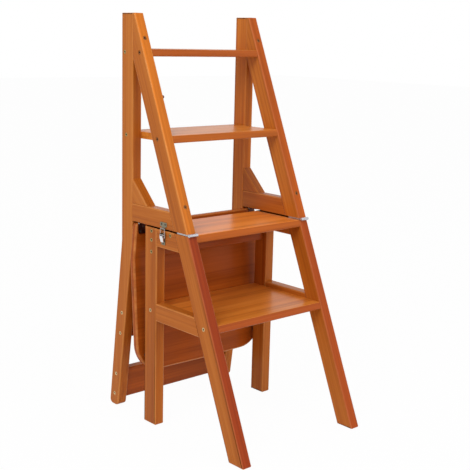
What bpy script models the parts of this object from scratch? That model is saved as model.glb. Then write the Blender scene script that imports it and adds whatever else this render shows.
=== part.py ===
# Library step chair: four steps that fold over into a chair with a drop seat.
# Metres, +Z up. X is the width, -Y is the side that is climbed, Z = 0 is the floor.
# The model stands as the ladder, with the seat board hanging behind the steps.

import math

import bmesh
import bpy
from mathutils import Matrix, Vector

# Overall sizes
TOTAL_HEIGHT = 0.900
FRAME_WIDTH = 0.354
SIDE_THICKNESS = 0.0245

# Fits between pieces
FIT = 0.0003
OVERRUN = 0.004
WELD = 0.00001
FLAT_ANGLE = 0.001
SMOOTH_ANGLE = 35.0

# Rounded edges of the timber
ARRIS_ROUND = 0.0028
ARRIS_SEGMENTS = 2
TIP_ROUND_SHARE = 0.7

# Fold joint between the lower and the upper half
JOINT_GAP = 0.0036
FOOT_RELIEF = 0.0003
KNUCKLE_RADIUS = 0.0035
KNUCKLE_CLEARANCE = 0.0008

# Side frames, seen from the side
POST_REAR = 0.2328
POST_WIDTH = 0.040
POST_BOTTOM_WIDTH = 0.0315
POST_BOTTOM_HEIGHT = 0.002
POST_END_RADIUS = 0.010
KINK_REAR_DROP = 0.0465
KINK_FRONT_DROP = 0.0335
KICK_SLOPE = 0.118
STILE_WIDTH = 0.041
STILE_TIP = 0.0047
LEG_REAR = 0.145
LEG_WIDTH = 0.0405
RAIL_HEIGHT = 0.0395
MID_RAIL_DROP = 0.0285
GUSSET_LEG = 0.054

# Steps, numbered from the floor
STEP_THICKNESS = 0.0156
STEP_INSET = 0.0008
STEP_1_DROP = 0.178
STEP_3_RISE = 0.011
STEP_4_DROP = 0.0745

# Cross pieces
APRON_THICKNESS = 0.018
APRON_HEIGHT = 0.050
BACK_RAIL_THICKNESS = 0.018
BACK_RAIL_HEIGHT = 0.074
BACK_MID_RAIL_CENTRE = 0.2067
CREST_RAIL_CENTRE = 0.0545

# Seat board and its hinges
SEAT_THICKNESS = 0.015
SEAT_LENGTH = 0.342
SEAT_SIDE_OVERHANG = 0.012
SEAT_HINGE_SIDE_OVERHANG = 0.001
SEAT_TAPER_LENGTH = 0.080
SEAT_CORNER_RADIUS = 0.066
SEAT_REAR_RADIUS = 0.010
SEAT_FRONT_BOW = 0.003
SEAT_ROUND = 0.004
SEAT_PIVOT = 0.172
SEAT_LIFT = 0.0063
SEAT_END_OVERHANG = 0.001
SEAT_HANG_DEGREES = 86.0
BUMPER_RADIUS = 0.006
BUMPER_PLACE = 0.300

# Hinges
LEAF_THICKNESS = 0.0013
FOLD_LEAF_LENGTH = 0.041
FOLD_LEAF_WIDTH = 0.0225
SEAT_LEAF_LENGTH = 0.024
SEAT_LEAF_WIDTH = 0.018
PIN_RADIUS = 0.0013
PIN_CLEARANCE = 0.0003
PIN_OVERHANG = 0.0003
KNUCKLE_SEGMENTS = 14

# Countersunk screws, which hold the frames and the boards together
SCREW_HEAD_RADIUS = 0.0043
SCREW_HEAD_RIM = 0.0006
SCREW_HEAD_DEPTH = 0.0026
SCREW_SHANK_RADIUS = 0.0024
SCREW_CLEARANCE = 0.0003
SCREW_SEGMENTS = 10
STEP_1_SCREW_SHARE = 0.55
STEP_3_SCREW_SHARE = 0.57
STEP_4_SCREW_SHARE = 0.34
POST_STEP_4_SCREW_INSET = 0.011
POST_STEP_3_SCREW_INSET = 0.017
TOP_RAIL_SCREW_PLACE = 0.0575
APRON_SCREW_SPACING = 0.026
BACK_RAIL_SCREW_SPACING = 0.050
UPPER_STILE_SCREW_DROP = 0.052
LOWER_STILE_SCREW_RISE = 0.054

# Stop stud on the left upper stile
STUD_RADIUS = 0.0034
STUD_LENGTH = 0.004
STUD_DROP = 0.0985
STUD_INSET = 0.005
STUD_SEGMENTS = 14

# Draw latch, one on each side: "out" is the distance from the side frame's outer face
LATCH_PLACE = 0.079
LATCH_SHEET = 0.001
LATCH_PLAY = 0.0004
LATCH_PIN_RADIUS = 0.0008
BASE_WIDTH = 0.0125
BASE_HEIGHT = 0.0275
BASE_TOP_DROP = 0.005
EAR_HEIGHT = 0.0075
EAR_WALL = 0.0019
LEVER_PIVOT_OUT = 0.0049
LEVER_PIVOT_DROP = 0.009
LEVER_EYE_RADIUS = 0.0020
LEVER_OUT = 0.0088
LEVER_LENGTH = 0.0155
LEVER_LIP = 0.0022
BAIL_EYE_RADIUS = 0.0016
BAIL_PIVOT_OUT = 0.0033
BAIL_PIVOT_DROP = 0.015
BAIL_WIRE_RADIUS = 0.0007
BAIL_BAR_OUT = 0.0038
BAIL_BAR_RISE = 0.0015
BAIL_CORNER = 0.0022
KEEPER_WIDTH = 0.0230
KEEPER_RISE = 0.0145
KEEPER_SHOULDER = 0.0045
HOOK_OUT = 0.0060
WIRE_RESOLUTION = 2

# Places that follow from the sizes above
HALF_WIDTH = FRAME_WIDTH / 2
INNER_FACE = HALF_WIDTH - SIDE_THICKNESS
SIDE_CENTRE = HALF_WIDTH - SIDE_THICKNESS / 2
STEP_HALF = INNER_FACE - FIT
FOLD_HEIGHT = TOTAL_HEIGHT / 2 + FOOT_RELIEF
FOLD_PLACE = -(KNUCKLE_RADIUS + KNUCKLE_CLEARANCE)
LOWER_TOP = FOLD_HEIGHT - JOINT_GAP / 2
UPPER_BOTTOM = FOLD_HEIGHT + JOINT_GAP / 2
POST_FRONT = POST_REAR - POST_WIDTH
LEG_FRONT = LEG_REAR - LEG_WIDTH
LEG_CENTRE = LEG_REAR - LEG_WIDTH / 2
STILE_SLOPE = (POST_FRONT - STILE_TIP) / (TOTAL_HEIGHT - FOLD_HEIGHT)
STILE_LEAN = math.atan(STILE_SLOPE)
KINK_REAR_HEIGHT = LOWER_TOP - KINK_REAR_DROP
KINK_FRONT_HEIGHT = LOWER_TOP - KINK_FRONT_DROP
STILE_DEPTH = STILE_WIDTH / math.cos(STILE_LEAN)
POST_BOTTOM_REAR = POST_REAR + (KINK_REAR_HEIGHT - POST_BOTTOM_HEIGHT) * KICK_SLOPE
POST_BOTTOM_FRONT = POST_BOTTOM_REAR - POST_BOTTOM_WIDTH
SEAT_RAIL_TOP = UPPER_BOTTOM + RAIL_HEIGHT
STEP_2_TOP = LOWER_TOP
STEP_1_TOP = STEP_2_TOP - STEP_1_DROP
STEP_4_TOP = TOTAL_HEIGHT - STEP_4_DROP
STEP_3_TOP = (STEP_2_TOP + STEP_4_TOP) / 2 + STEP_3_RISE
MID_RAIL_BOTTOM = STEP_1_TOP - MID_RAIL_DROP
UPPER_STILE_SCREW_HEIGHT = TOTAL_HEIGHT - UPPER_STILE_SCREW_DROP
LOWER_STILE_SCREW_HEIGHT = UPPER_BOTTOM + LOWER_STILE_SCREW_RISE
STUD_HEIGHT = STEP_4_TOP - STUD_DROP
APRON_TOP = STEP_2_TOP - STEP_THICKNESS - FIT
SEAT_PIVOT_HEIGHT = UPPER_BOTTOM - SEAT_LIFT / 2
SEAT_WIDTH = FRAME_WIDTH + 2 * SEAT_SIDE_OVERHANG
SEAT_HINGE_WIDTH = FRAME_WIDTH + 2 * SEAT_HINGE_SIDE_OVERHANG
LEVER_PIVOT_UP = LOWER_TOP - LEVER_PIVOT_DROP
BAIL_PIVOT_UP = LOWER_TOP - BAIL_PIVOT_DROP
BAIL_BAR_UP = UPPER_BOTTOM + BAIL_BAR_RISE
EAR_HALF = BASE_WIDTH / 2 - LATCH_SHEET / 4
LEVER_HALF = EAR_HALF - LATCH_SHEET - LATCH_PLAY
BAIL_HALF = EAR_HALF + LATCH_PLAY + BAIL_WIRE_RADIUS
HOOK_HALF = EAR_HALF

timber_colour = (0.62, 0.26, 0.075, 1.0)
step_colour = (0.68, 0.31, 0.095, 1.0)
seat_colour = (0.56, 0.21, 0.06, 1.0)
steel_colour = (0.72, 0.73, 0.75, 1.0)
brass_colour = (0.70, 0.55, 0.28, 1.0)
rubber_colour = (0.06, 0.03, 0.03, 1.0)


def clear_scene():
    for old in list(bpy.data.objects):
        bpy.data.objects.remove(old, do_unlink=True)


def new_collection(name):
    made = bpy.data.collections.new(name)
    bpy.context.scene.collection.children.link(made)
    return made


clear_scene()
chair_parts = new_collection("library_step_chair")
cutters = new_collection("cutters")


def finish(name, colour, roughness, metallic=0.0):
    made = bpy.data.materials.new(name)
    made.use_nodes = True
    shader = made.node_tree.nodes["Principled BSDF"]
    shader.inputs["Base Color"].default_value = colour
    shader.inputs["Roughness"].default_value = roughness
    shader.inputs["Metallic"].default_value = metallic
    return made


def add_object(name, mesh, colour, roughness, metallic=0.0):
    """A named piece with a material of its own."""
    made = bpy.data.objects.new(name, mesh)
    chair_parts.objects.link(made)
    mesh.materials.clear()
    mesh.materials.append(finish(name + "_finish", colour, roughness, metallic))
    return made


def add_cutter(name, mesh):
    made = bpy.data.objects.new(name, mesh)
    cutters.objects.link(made)
    made.hide_render = True
    made.display_type = "WIRE"
    return made


def timber(name, mesh, colour=timber_colour):
    return add_object(name, mesh, colour, 0.35)


def steel(name, mesh):
    return add_object(name, mesh, steel_colour, 0.25, 1.0)


def add_bevel(piece, width, segments=ARRIS_SEGMENTS):
    bevel = piece.modifiers.new("rounded_edges", "BEVEL")
    bevel.limit_method = "WEIGHT"
    bevel.width = width
    bevel.segments = segments
    return bevel


def add_boolean(piece, tool, operation="DIFFERENCE"):
    cut = piece.modifiers.new(operation.lower(), "BOOLEAN")
    cut.object = tool
    cut.operation = operation
    cut.solver = "EXACT"
    return cut


def bake(piece):
    """Turns the object's modifiers and transform into plain mesh data."""
    bpy.context.view_layer.update()
    graph = bpy.context.evaluated_depsgraph_get()
    mesh = bpy.data.meshes.new_from_object(piece.evaluated_get(graph))
    mesh.transform(piece.matrix_world)
    return mesh


def plain_mesh(piece):
    """Turns a curve object into a mesh with its caps welded on, and removes the curve."""
    mesh = bake(piece)
    bpy.data.objects.remove(piece, do_unlink=True)
    bm = bmesh.new()
    bm.from_mesh(mesh)
    bmesh.ops.remove_doubles(bm, verts=bm.verts[:], dist=WELD)
    bmesh.ops.dissolve_limit(bm, angle_limit=FLAT_ANGLE, verts=bm.verts[:], edges=bm.edges[:])
    bmesh.ops.recalc_face_normals(bm, faces=bm.faces[:])
    bm.to_mesh(mesh)
    bm.free()
    return mesh


def outline_mesh(name, outline, low, high):
    """A flat outline in local X and Y, filled and extruded along Z from low to high."""
    curve = bpy.data.curves.new(name, "CURVE")
    curve.dimensions = "2D"
    curve.fill_mode = "BOTH"
    curve.extrude = (high - low) / 2
    spline = curve.splines.new("POLY")
    spline.points.add(len(outline) - 1)
    spline.use_cyclic_u = True
    for knot, (first, second) in zip(spline.points, outline):
        knot.co = (first, second, 0.0, 1.0)
    shape = add_cutter(name + "_outline", curve)
    shape.location = (0.0, 0.0, (low + high) / 2)
    return plain_mesh(shape)


def mark_edges(mesh, chosen):
    """Gives each edge that chosen(first, second) names a bevel weight of one."""
    bm = bmesh.new()
    bm.from_mesh(mesh)
    weight = bm.edges.layers.float.new("bevel_weight_edge")
    for edge in bm.edges:
        first, second = (vert.co for vert in edge.verts)
        edge[weight] = 1.0 if chosen(first, second) else 0.0
    bm.to_mesh(mesh)
    bm.free()


def prism_mesh(name, outline, low, high, round_sides=(), round_ends=()):
    """Extrudes a (y, z) outline along X from low to high.

    round_sides lists the outline's edges whose two arrises are rounded, and
    round_ends the outline's corners whose edge along X is rounded.
    """
    mesh = outline_mesh(name, outline, low, high)
    mesh.transform(Matrix(((0.0, 0.0, 1.0, 0.0), (1.0, 0.0, 0.0, 0.0),
                           (0.0, 1.0, 0.0, 0.0), (0.0, 0.0, 0.0, 1.0))))
    count = len(outline)
    places = [Vector((0.0, y, z)) for y, z in outline]

    def corner_of(point):
        flat = Vector((0.0, point.y, point.z))
        return min(range(count), key=lambda index: (places[index] - flat).length)

    def chosen(first, second):
        start, end = corner_of(first), corner_of(second)
        if start == end:
            return start in round_ends
        side = start if (start + 1) % count == end else end
        return side in round_sides

    mark_edges(mesh, chosen)
    return mesh


def fillet(outline, radii, steps=5):
    """Rounds the outline's corners: radii maps a corner's index to its radius."""
    points = []
    count = len(outline)
    for index, corner in enumerate(outline):
        here = Vector(corner)
        radius = radii.get(index, 0.0)
        if radius <= 0.0:
            points.append(tuple(here))
            continue
        before = (Vector(outline[index - 1]) - here).normalized()
        after = (Vector(outline[(index + 1) % count]) - here).normalized()
        half = before.angle(after) / 2
        reach = radius / math.tan(half)
        centre = here + (before + after).normalized() * radius / math.sin(half)
        start = here + before * reach - centre
        end = here + after * reach - centre
        turn = start.angle_signed(end)
        for step in range(steps + 1):
            angle = -turn * step / steps
            spun = Vector((start.x * math.cos(angle) - start.y * math.sin(angle),
                           start.x * math.sin(angle) + start.y * math.cos(angle)))
            points.append(tuple(centre + spun))
    return points


def stile_front(height):
    return (height - FOLD_HEIGHT) * STILE_SLOPE


def stile_rear(height):
    return stile_front(height) + STILE_DEPTH


def post_front(height):
    """Front face of the post, which leans back below its bend."""
    if height >= KINK_FRONT_HEIGHT:
        return POST_FRONT
    share = (KINK_FRONT_HEIGHT - height) / (KINK_FRONT_HEIGHT - POST_BOTTOM_HEIGHT)
    return POST_FRONT + (POST_BOTTOM_FRONT - POST_FRONT) * share


def post_rear(height):
    if height >= KINK_REAR_HEIGHT:
        return POST_REAR
    return POST_REAR + (KINK_REAR_HEIGHT - height) * KICK_SLOPE


def post_centre(height):
    return (post_front(height) + post_rear(height)) / 2


def side_span(side):
    """Lowest and highest x of the side frame on the left (-1) or the right (1)."""
    ends = (side * INNER_FACE, side * HALF_WIDTH)
    return min(ends), max(ends)


def side_name(side):
    return "left" if side < 0 else "right"


# Screw holes: one turned profile, countersunk at the outer face

def screw_hole_mesh(name, depth):
    """Mouth at Z = 0, pointing down -Z."""
    head = SCREW_HEAD_RADIUS + SCREW_CLEARANCE
    shank = SCREW_SHANK_RADIUS + SCREW_CLEARANCE
    profile = ((0.0, OVERRUN), (head, OVERRUN), (head, -SCREW_HEAD_RIM),
               (shank, -SCREW_HEAD_DEPTH), (shank, -depth), (0.0, -depth))
    mesh = bpy.data.meshes.new(name)
    bm = bmesh.new()
    verts = [bm.verts.new((radius, 0.0, height)) for radius, height in profile]
    for first, second in zip(verts, verts[1:]):
        bm.edges.new((first, second))
    bm.to_mesh(mesh)
    bm.free()
    turned = add_cutter(name, mesh)
    spin = turned.modifiers.new("turned", "SCREW")
    spin.steps = SCREW_SEGMENTS
    spin.render_steps = SCREW_SEGMENTS
    spin.use_merge_vertices = True
    spin.merge_threshold = WELD
    spin.use_normal_calculate = True
    made = bake(turned)
    bpy.data.objects.remove(turned, do_unlink=True)
    return made


def gather(name, pieces):
    """Copies of meshes in one mesh, each at its own place."""
    bm = bmesh.new()
    for master, matrix in pieces:
        copy = master.copy()
        copy.transform(matrix)
        bm.from_mesh(copy)
        bpy.data.meshes.remove(copy)
    bmesh.ops.recalc_face_normals(bm, faces=bm.faces[:])
    mesh = bpy.data.meshes.new(name)
    bm.to_mesh(mesh)
    bm.free()
    return mesh


def side_hole(side, place, height):
    """A hole bored level through a side frame from its outer face."""
    turn = Matrix.Rotation(side * math.pi / 2, 4, "Y")
    return Matrix.Translation((side * HALF_WIDTH, place, height)) @ turn


def front_hole(side, height):
    """A hole bored square through a stile from its front face."""
    turn = Matrix.Rotation(math.pi / 2 - STILE_LEAN, 4, "X")
    return Matrix.Translation((side * SIDE_CENTRE, stile_front(height), height)) @ turn


STEP_1_CENTRE = STEP_1_TOP - STEP_THICKNESS / 2
STEP_2_CENTRE = STEP_2_TOP - STEP_THICKNESS / 2
STEP_3_CENTRE = STEP_3_TOP - STEP_THICKNESS / 2
STEP_4_CENTRE = STEP_4_TOP - STEP_THICKNESS / 2
APRON_CENTRE = APRON_TOP - APRON_HEIGHT / 2

lower_screws = (
    (LEG_CENTRE, STEP_2_CENTRE),
    (LEG_CENTRE, APRON_CENTRE + APRON_SCREW_SPACING / 2),
    (LEG_CENTRE, APRON_CENTRE - APRON_SCREW_SPACING / 2),
    (TOP_RAIL_SCREW_PLACE, STEP_2_CENTRE),
    (LEG_CENTRE, STEP_1_CENTRE),
    (stile_front(STEP_1_CENTRE) + STILE_DEPTH * STEP_1_SCREW_SHARE, STEP_1_CENTRE),
)
upper_screws = (
    (POST_REAR - POST_STEP_4_SCREW_INSET, STEP_4_CENTRE),
    (stile_front(STEP_4_CENTRE) + STILE_DEPTH * STEP_4_SCREW_SHARE, STEP_4_CENTRE),
    (POST_REAR - POST_STEP_3_SCREW_INSET, STEP_3_CENTRE),
    (stile_front(STEP_3_CENTRE) + STILE_DEPTH * STEP_3_SCREW_SHARE, STEP_3_CENTRE),
)
back_rail_screws = tuple(
    (post_centre(centre + shift), centre + shift)
    for centre in (BACK_MID_RAIL_CENTRE, CREST_RAIL_CENTRE)
    for shift in (BACK_RAIL_SCREW_SPACING / 2, -BACK_RAIL_SCREW_SPACING / 2)
)

def make_screw_holes():
    """For each side, the tools that bore its level and its sloping holes."""
    level = screw_hole_mesh("level_hole", SIDE_THICKNESS + OVERRUN)
    sloping = screw_hole_mesh("sloping_hole", STILE_WIDTH + OVERRUN)
    tools = {}
    for side in (-1, 1):
        label = side_name(side)
        bored = [(level, side_hole(side, place, height))
                 for place, height in lower_screws + upper_screws + back_rail_screws]
        front = [(sloping, front_hole(side, height))
                 for height in (UPPER_STILE_SCREW_HEIGHT, LOWER_STILE_SCREW_HEIGHT)]
        level_name = "level_holes_" + label
        front_name = "front_holes_" + label
        tools[side] = (add_cutter(level_name, gather(level_name, bored)),
                       add_cutter(front_name, gather(front_name, front)))
    return tools


screw_holes = make_screw_holes()


def side_member(name, side, outline, round_sides, bored=True, width=ARRIS_ROUND):
    """A bar of a side frame: an outline in the frame's thickness, with rounded arrises."""
    low, high = side_span(side)
    full_name = name + "_" + side_name(side)
    mesh = prism_mesh(full_name, outline, low, high, round_sides)
    piece = timber(full_name, mesh, timber_colour)
    add_bevel(piece, width)
    if bored:
        add_boolean(piece, screw_holes[side][0])
    return piece


def cross_member(name, outline, round_ends, colour, width=ARRIS_ROUND):
    """A board between the side frames, with its long edges rounded."""
    mesh = prism_mesh(name, outline, -STEP_HALF, STEP_HALF, round_ends=round_ends)
    piece = timber(name, mesh, colour)
    add_bevel(piece, width)
    return piece


def make_lower_half():
    """Two side frames with steps 1 and 2, and the apron behind them."""
    for side in (-1, 1):
        leg = ((LEG_FRONT, 0.0), (LEG_REAR, 0.0), (LEG_REAR, LOWER_TOP), (LEG_FRONT, LOWER_TOP))
        side_member("lower_leg", side, leg, (0, 1, 3))
        stile = ((stile_front(0.0), 0.0), (stile_rear(0.0), 0.0),
                 (stile_rear(LOWER_TOP), LOWER_TOP), (stile_front(LOWER_TOP), LOWER_TOP))
        side_member("lower_stile", side, stile, (0, 1, 3))
        for name, bottom in (("lower_top_rail", LOWER_TOP - RAIL_HEIGHT),
                             ("lower_mid_rail", MID_RAIL_BOTTOM)):
            top = bottom + RAIL_HEIGHT
            rail = ((stile_rear(bottom) + FIT, bottom), (LEG_FRONT - FIT, bottom),
                    (LEG_FRONT - FIT, top), (stile_rear(top) + FIT, top))
            rounded = (0,) if name == "lower_top_rail" else (0, 2)
            side_member(name, side, rail, rounded, bored=name == "lower_top_rail")
    make_step("step_1", STEP_1_TOP, LEG_REAR)
    make_step("step_2", STEP_2_TOP, LEG_REAR)
    apron_low = LEG_CENTRE - APRON_THICKNESS / 2
    apron_high = LEG_CENTRE + APRON_THICKNESS / 2
    apron_bottom = APRON_TOP - APRON_HEIGHT
    apron = ((apron_low, apron_bottom), (apron_high, apron_bottom),
             (apron_high, APRON_TOP), (apron_low, APRON_TOP))
    cross_member("rear_apron", apron, (0, 1), timber_colour)


def make_step(name, top, rear):
    """A board whose front face follows the slope of the stiles."""
    bottom = top - STEP_THICKNESS
    front_top = stile_front(top) + STEP_INSET
    front_bottom = stile_front(bottom) + STEP_INSET
    outline = ((front_bottom, bottom), (rear, bottom), (rear, top), (front_top, top))
    cross_member(name, outline, (0, 1, 2, 3), step_colour)


def make_upper_half():
    """Two side frames with steps 3 and 4 and the two rails of the chair's back."""
    contact = POST_FRONT - FIT
    meeting = FOLD_HEIGHT + (contact - STILE_DEPTH) / STILE_SLOPE
    tip_round = min(ARRIS_ROUND, (STILE_TIP - FIT) * TIP_ROUND_SHARE)
    for side in (-1, 1):
        post = fillet(((POST_BOTTOM_FRONT, POST_BOTTOM_HEIGHT),
                       (POST_BOTTOM_REAR, POST_BOTTOM_HEIGHT),
                       (POST_REAR, KINK_REAR_HEIGHT),
                       (POST_REAR, TOTAL_HEIGHT),
                       (POST_FRONT, TOTAL_HEIGHT),
                       (POST_FRONT, KINK_FRONT_HEIGHT)),
                      {0: POST_END_RADIUS, 1: POST_END_RADIUS})
        side_member("post", side, post, range(len(post)))
        stile = ((stile_front(UPPER_BOTTOM), UPPER_BOTTOM),
                 (stile_rear(UPPER_BOTTOM), UPPER_BOTTOM),
                 (contact, meeting), (contact, TOTAL_HEIGHT),
                 (stile_front(TOTAL_HEIGHT), TOTAL_HEIGHT))
        front = side_member("upper_stile", side, stile, (1, 4), width=tip_round)
        add_boolean(front, screw_holes[side][1])
        rail = ((stile_rear(UPPER_BOTTOM) + FIT, UPPER_BOTTOM), (contact, UPPER_BOTTOM),
                (contact, SEAT_RAIL_TOP), (stile_rear(SEAT_RAIL_TOP) + FIT, SEAT_RAIL_TOP))
        side_member("seat_rail", side, rail, (2,), bored=False)
        foot = SEAT_RAIL_TOP + FIT
        gusset = ((contact - GUSSET_LEG, foot), (contact, foot), (contact, foot + GUSSET_LEG))
        side_member("gusset", side, gusset, (2,), bored=False)
    make_step("step_3", STEP_3_TOP, POST_REAR)
    make_step("step_4", STEP_4_TOP, POST_REAR)
    make_back_rail("back_mid_rail", BACK_MID_RAIL_CENTRE)
    make_back_rail("crest_rail", CREST_RAIL_CENTRE)


def make_back_rail(name, height):
    """A board across the posts, in line with their lean."""
    reach = BACK_RAIL_HEIGHT / 2
    along = Vector((post_centre(height + reach) - post_centre(height - reach), 2 * reach))
    along.normalize()
    across = Vector((along.y, -along.x))
    centre = Vector((post_centre(height), height))
    corners = ((-1, -1), (1, -1), (1, 1), (-1, 1))
    outline = tuple(tuple(centre + across * (a * BACK_RAIL_THICKNESS / 2) + along * (b * reach))
                    for a, b in corners)
    cross_member(name, outline, (0, 1, 2, 3), timber_colour)


# Butt hinges: two leaves, three knuckles and a pin

def cylinder(radius, low, high, segments=KNUCKLE_SEGMENTS):
    """A mesh of one cylinder along X."""
    bm = bmesh.new()
    turn = Matrix.Rotation(math.pi / 2, 4, "Y")
    place = Matrix.Translation(((low + high) / 2, 0.0, 0.0)) @ turn
    bmesh.ops.create_cone(bm, cap_ends=True, segments=segments, radius1=radius,
                          radius2=radius, depth=high - low, matrix=place)
    mesh = bpy.data.meshes.new("cylinder")
    bm.to_mesh(mesh)
    bm.free()
    return mesh


def box_mesh(low, high):
    bm = bmesh.new()
    bmesh.ops.create_cube(bm, size=1.0)
    size = Vector(high) - Vector(low)
    middle = (Vector(high) + Vector(low)) / 2
    bmesh.ops.scale(bm, vec=size, verts=bm.verts[:])
    bmesh.ops.translate(bm, vec=middle, verts=bm.verts[:])
    mesh = bpy.data.meshes.new("box")
    bm.to_mesh(mesh)
    bm.free()
    return mesh


def combine(base, steps):
    """Joins or cuts the base mesh with each (operation, mesh) in turn."""
    work = add_cutter("work", base)
    for operation, mesh in steps:
        tool = add_cutter("tool", mesh)
        add_boolean(work, tool, operation)
        made = bake(work)
        bpy.data.objects.remove(tool, do_unlink=True)
        work.modifiers.clear()
        work.data = made
    bpy.data.objects.remove(work, do_unlink=True)
    return made


def leaf_outline(length, radius, near, far):
    """Outline of a leaf about (0, 0): a plate along +Y at a height of near to far, and its eye."""
    start = math.asin(min(far / radius, 1.0))
    sweep = 2 * math.pi + math.asin(near / radius) - start
    eye = [(radius * math.cos(start + sweep * step / KNUCKLE_SEGMENTS),
            radius * math.sin(start + sweep * step / KNUCKLE_SEGMENTS))
           for step in range(KNUCKLE_SEGMENTS + 1)]
    return [(length, near), (length, far)] + eye


def leaf_mesh(width, outline, radius, own_middle):
    """A hinge leaf about the X axis, with a bore for its pin.

    The barrel has three knuckles. One leaf owns the middle one, the other the outer two.
    """
    half = width / 2
    third = width / 6
    room = radius + 2 * FIT
    if own_middle:
        gaps = ((-half - OVERRUN, -third + FIT / 2), (third - FIT / 2, half + OVERRUN))
    else:
        gaps = ((-third - FIT / 2, third + FIT / 2),)
    steps = [("DIFFERENCE", box_mesh((low, -room, -room), (high, room, room)))
             for low, high in gaps]
    bore = cylinder(PIN_RADIUS + PIN_CLEARANCE, -half - OVERRUN, half + OVERRUN)
    steps.append(("DIFFERENCE", bore))
    return combine(prism_mesh("leaf", outline, -half, half), steps)


def flipped(outline):
    """The outline turned over about the Y axis, run round the other way."""
    return [(y, -z) for y, z in reversed(outline)]


def make_fold_hinges():
    """Flat leaves in the gap between the halves, with the knuckles proud of the stiles."""
    far = JOINT_GAP / 2 - FIT
    shape = leaf_outline(FOLD_LEAF_LENGTH, KNUCKLE_RADIUS, far - LEAF_THICKNESS, far)
    upper = leaf_mesh(FOLD_LEAF_WIDTH, shape, KNUCKLE_RADIUS, True)
    lower = leaf_mesh(FOLD_LEAF_WIDTH, flipped(shape), KNUCKLE_RADIUS, False)
    reach = FOLD_LEAF_WIDTH / 2 + PIN_OVERHANG
    pin = cylinder(PIN_RADIUS, -reach, reach)
    for side in (-1, 1):
        for name, mesh in (("fold_hinge_lower_leaf", lower), ("fold_hinge_upper_leaf", upper),
                           ("fold_hinge_pin", pin)):
            piece = steel(name + "_" + side_name(side), mesh.copy())
            piece.location = (side * SIDE_CENTRE, FOLD_PLACE, FOLD_HEIGHT)


def make_seat_hinges(seat_pivot):
    """Butt hinges between the seat rails and the underside of the seat board."""
    far = SEAT_LIFT / 2 - FIT
    shape = leaf_outline(SEAT_LEAF_LENGTH, far, far - LEAF_THICKNESS, far)
    fixed = leaf_mesh(SEAT_LEAF_WIDTH, shape, far, True)
    moving = leaf_mesh(SEAT_LEAF_WIDTH, flipped(shape), far, False)
    forward = Matrix.Rotation(math.pi, 4, "Z")
    fixed.transform(forward)
    moving.transform(forward)
    reach = SEAT_LEAF_WIDTH / 2 + PIN_OVERHANG
    pin = cylinder(PIN_RADIUS, -reach, reach)
    for side in (-1, 1):
        label = side_name(side)
        place = (side * SIDE_CENTRE, SEAT_PIVOT, SEAT_PIVOT_HEIGHT)
        steel("seat_hinge_rail_leaf_" + label, fixed.copy()).location = place
        steel("seat_hinge_pin_" + label, pin.copy()).location = place
        leaf = steel("seat_hinge_seat_leaf_" + label, moving.copy())
        leaf.parent = seat_pivot
        leaf.location = (side * SIDE_CENTRE, 0.0, 0.0)


# Seat board: modelled lying shut about its hinge line, then hung from it

def seat_outline():
    """Half of the board's outline, from the hinge end round to the middle of the front."""
    half = SEAT_WIDTH / 2
    hinge_half = SEAT_HINGE_WIDTH / 2
    front = -SEAT_LENGTH
    corner = front + SEAT_FRONT_BOW
    shape = fillet(((0.0, front), (half, corner), (half, -SEAT_TAPER_LENGTH),
                    (hinge_half, SEAT_END_OVERHANG), (0.0, SEAT_END_OVERHANG)),
                   {1: SEAT_CORNER_RADIUS, 2: SEAT_CORNER_RADIUS, 3: SEAT_REAR_RADIUS}, steps=7)
    mirrored = [(-x, y) for x, y in reversed(shape[1:-1])]
    return shape + mirrored


def make_seat():
    """The board, its two rubber bumpers and the moving hinge leaves."""
    pivot = bpy.data.objects.new("seat_pivot", None)
    chair_parts.objects.link(pivot)
    pivot.location = (0.0, SEAT_PIVOT, SEAT_PIVOT_HEIGHT)
    pivot.rotation_euler = (math.radians(SEAT_HANG_DEGREES), 0.0, 0.0)
    underside = -SEAT_LIFT / 2
    mesh = outline_mesh("seat_board", seat_outline(), underside - SEAT_THICKNESS, underside)
    mark_edges(mesh, lambda first, second: abs(first.z - second.z) < WELD)
    board = timber("seat_board", mesh, seat_colour)
    add_bevel(board, SEAT_ROUND)
    board.parent = pivot
    height = SEAT_LIFT - 2 * FIT
    master = cylinder(BUMPER_RADIUS, 0.0, height)
    master.transform(Matrix.Rotation(-math.pi / 2, 4, "Y"))
    for side in (-1, 1):
        bumper = add_object("seat_bumper_" + side_name(side), master.copy(), rubber_colour, 0.7)
        bumper.parent = pivot
        bumper.location = (side * SIDE_CENTRE, -BUMPER_PLACE, underside + FIT)
    return pivot


def make_stop_stud():
    """A small stud on the inner face of the left upper stile, near its front edge."""
    low = -INNER_FACE + FIT
    mesh = cylinder(STUD_RADIUS, low, low + STUD_LENGTH, STUD_SEGMENTS)
    stud = add_object("stop_stud", mesh, rubber_colour, 0.6)
    stud.location = (0.0, stile_front(STUD_HEIGHT) + STUD_INSET, STUD_HEIGHT)


# Draw latches: drawn for the right side with x as "out", and turned about Z for the left

def out_prism(outline, width):
    """Extrudes an (out, up) outline along Y over the given width."""
    mesh = outline_mesh("out_prism", outline, -width / 2, width / 2)
    mesh.transform(Matrix.Rotation(math.pi / 2, 4, "X"))
    return mesh


def cross_cylinder(radius, half, out, up, segments=12):
    """A cylinder along Y through (out, up)."""
    mesh = cylinder(radius, -half, half, segments)
    mesh.transform(Matrix.Rotation(math.pi / 2, 4, "Z"))
    mesh.transform(Matrix.Translation((out, 0.0, up)))
    return mesh


def rectangle(out_low, up_low, out_high, up_high):
    return ((out_low, up_low), (out_high, up_low), (out_high, up_high), (out_low, up_high))


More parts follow.
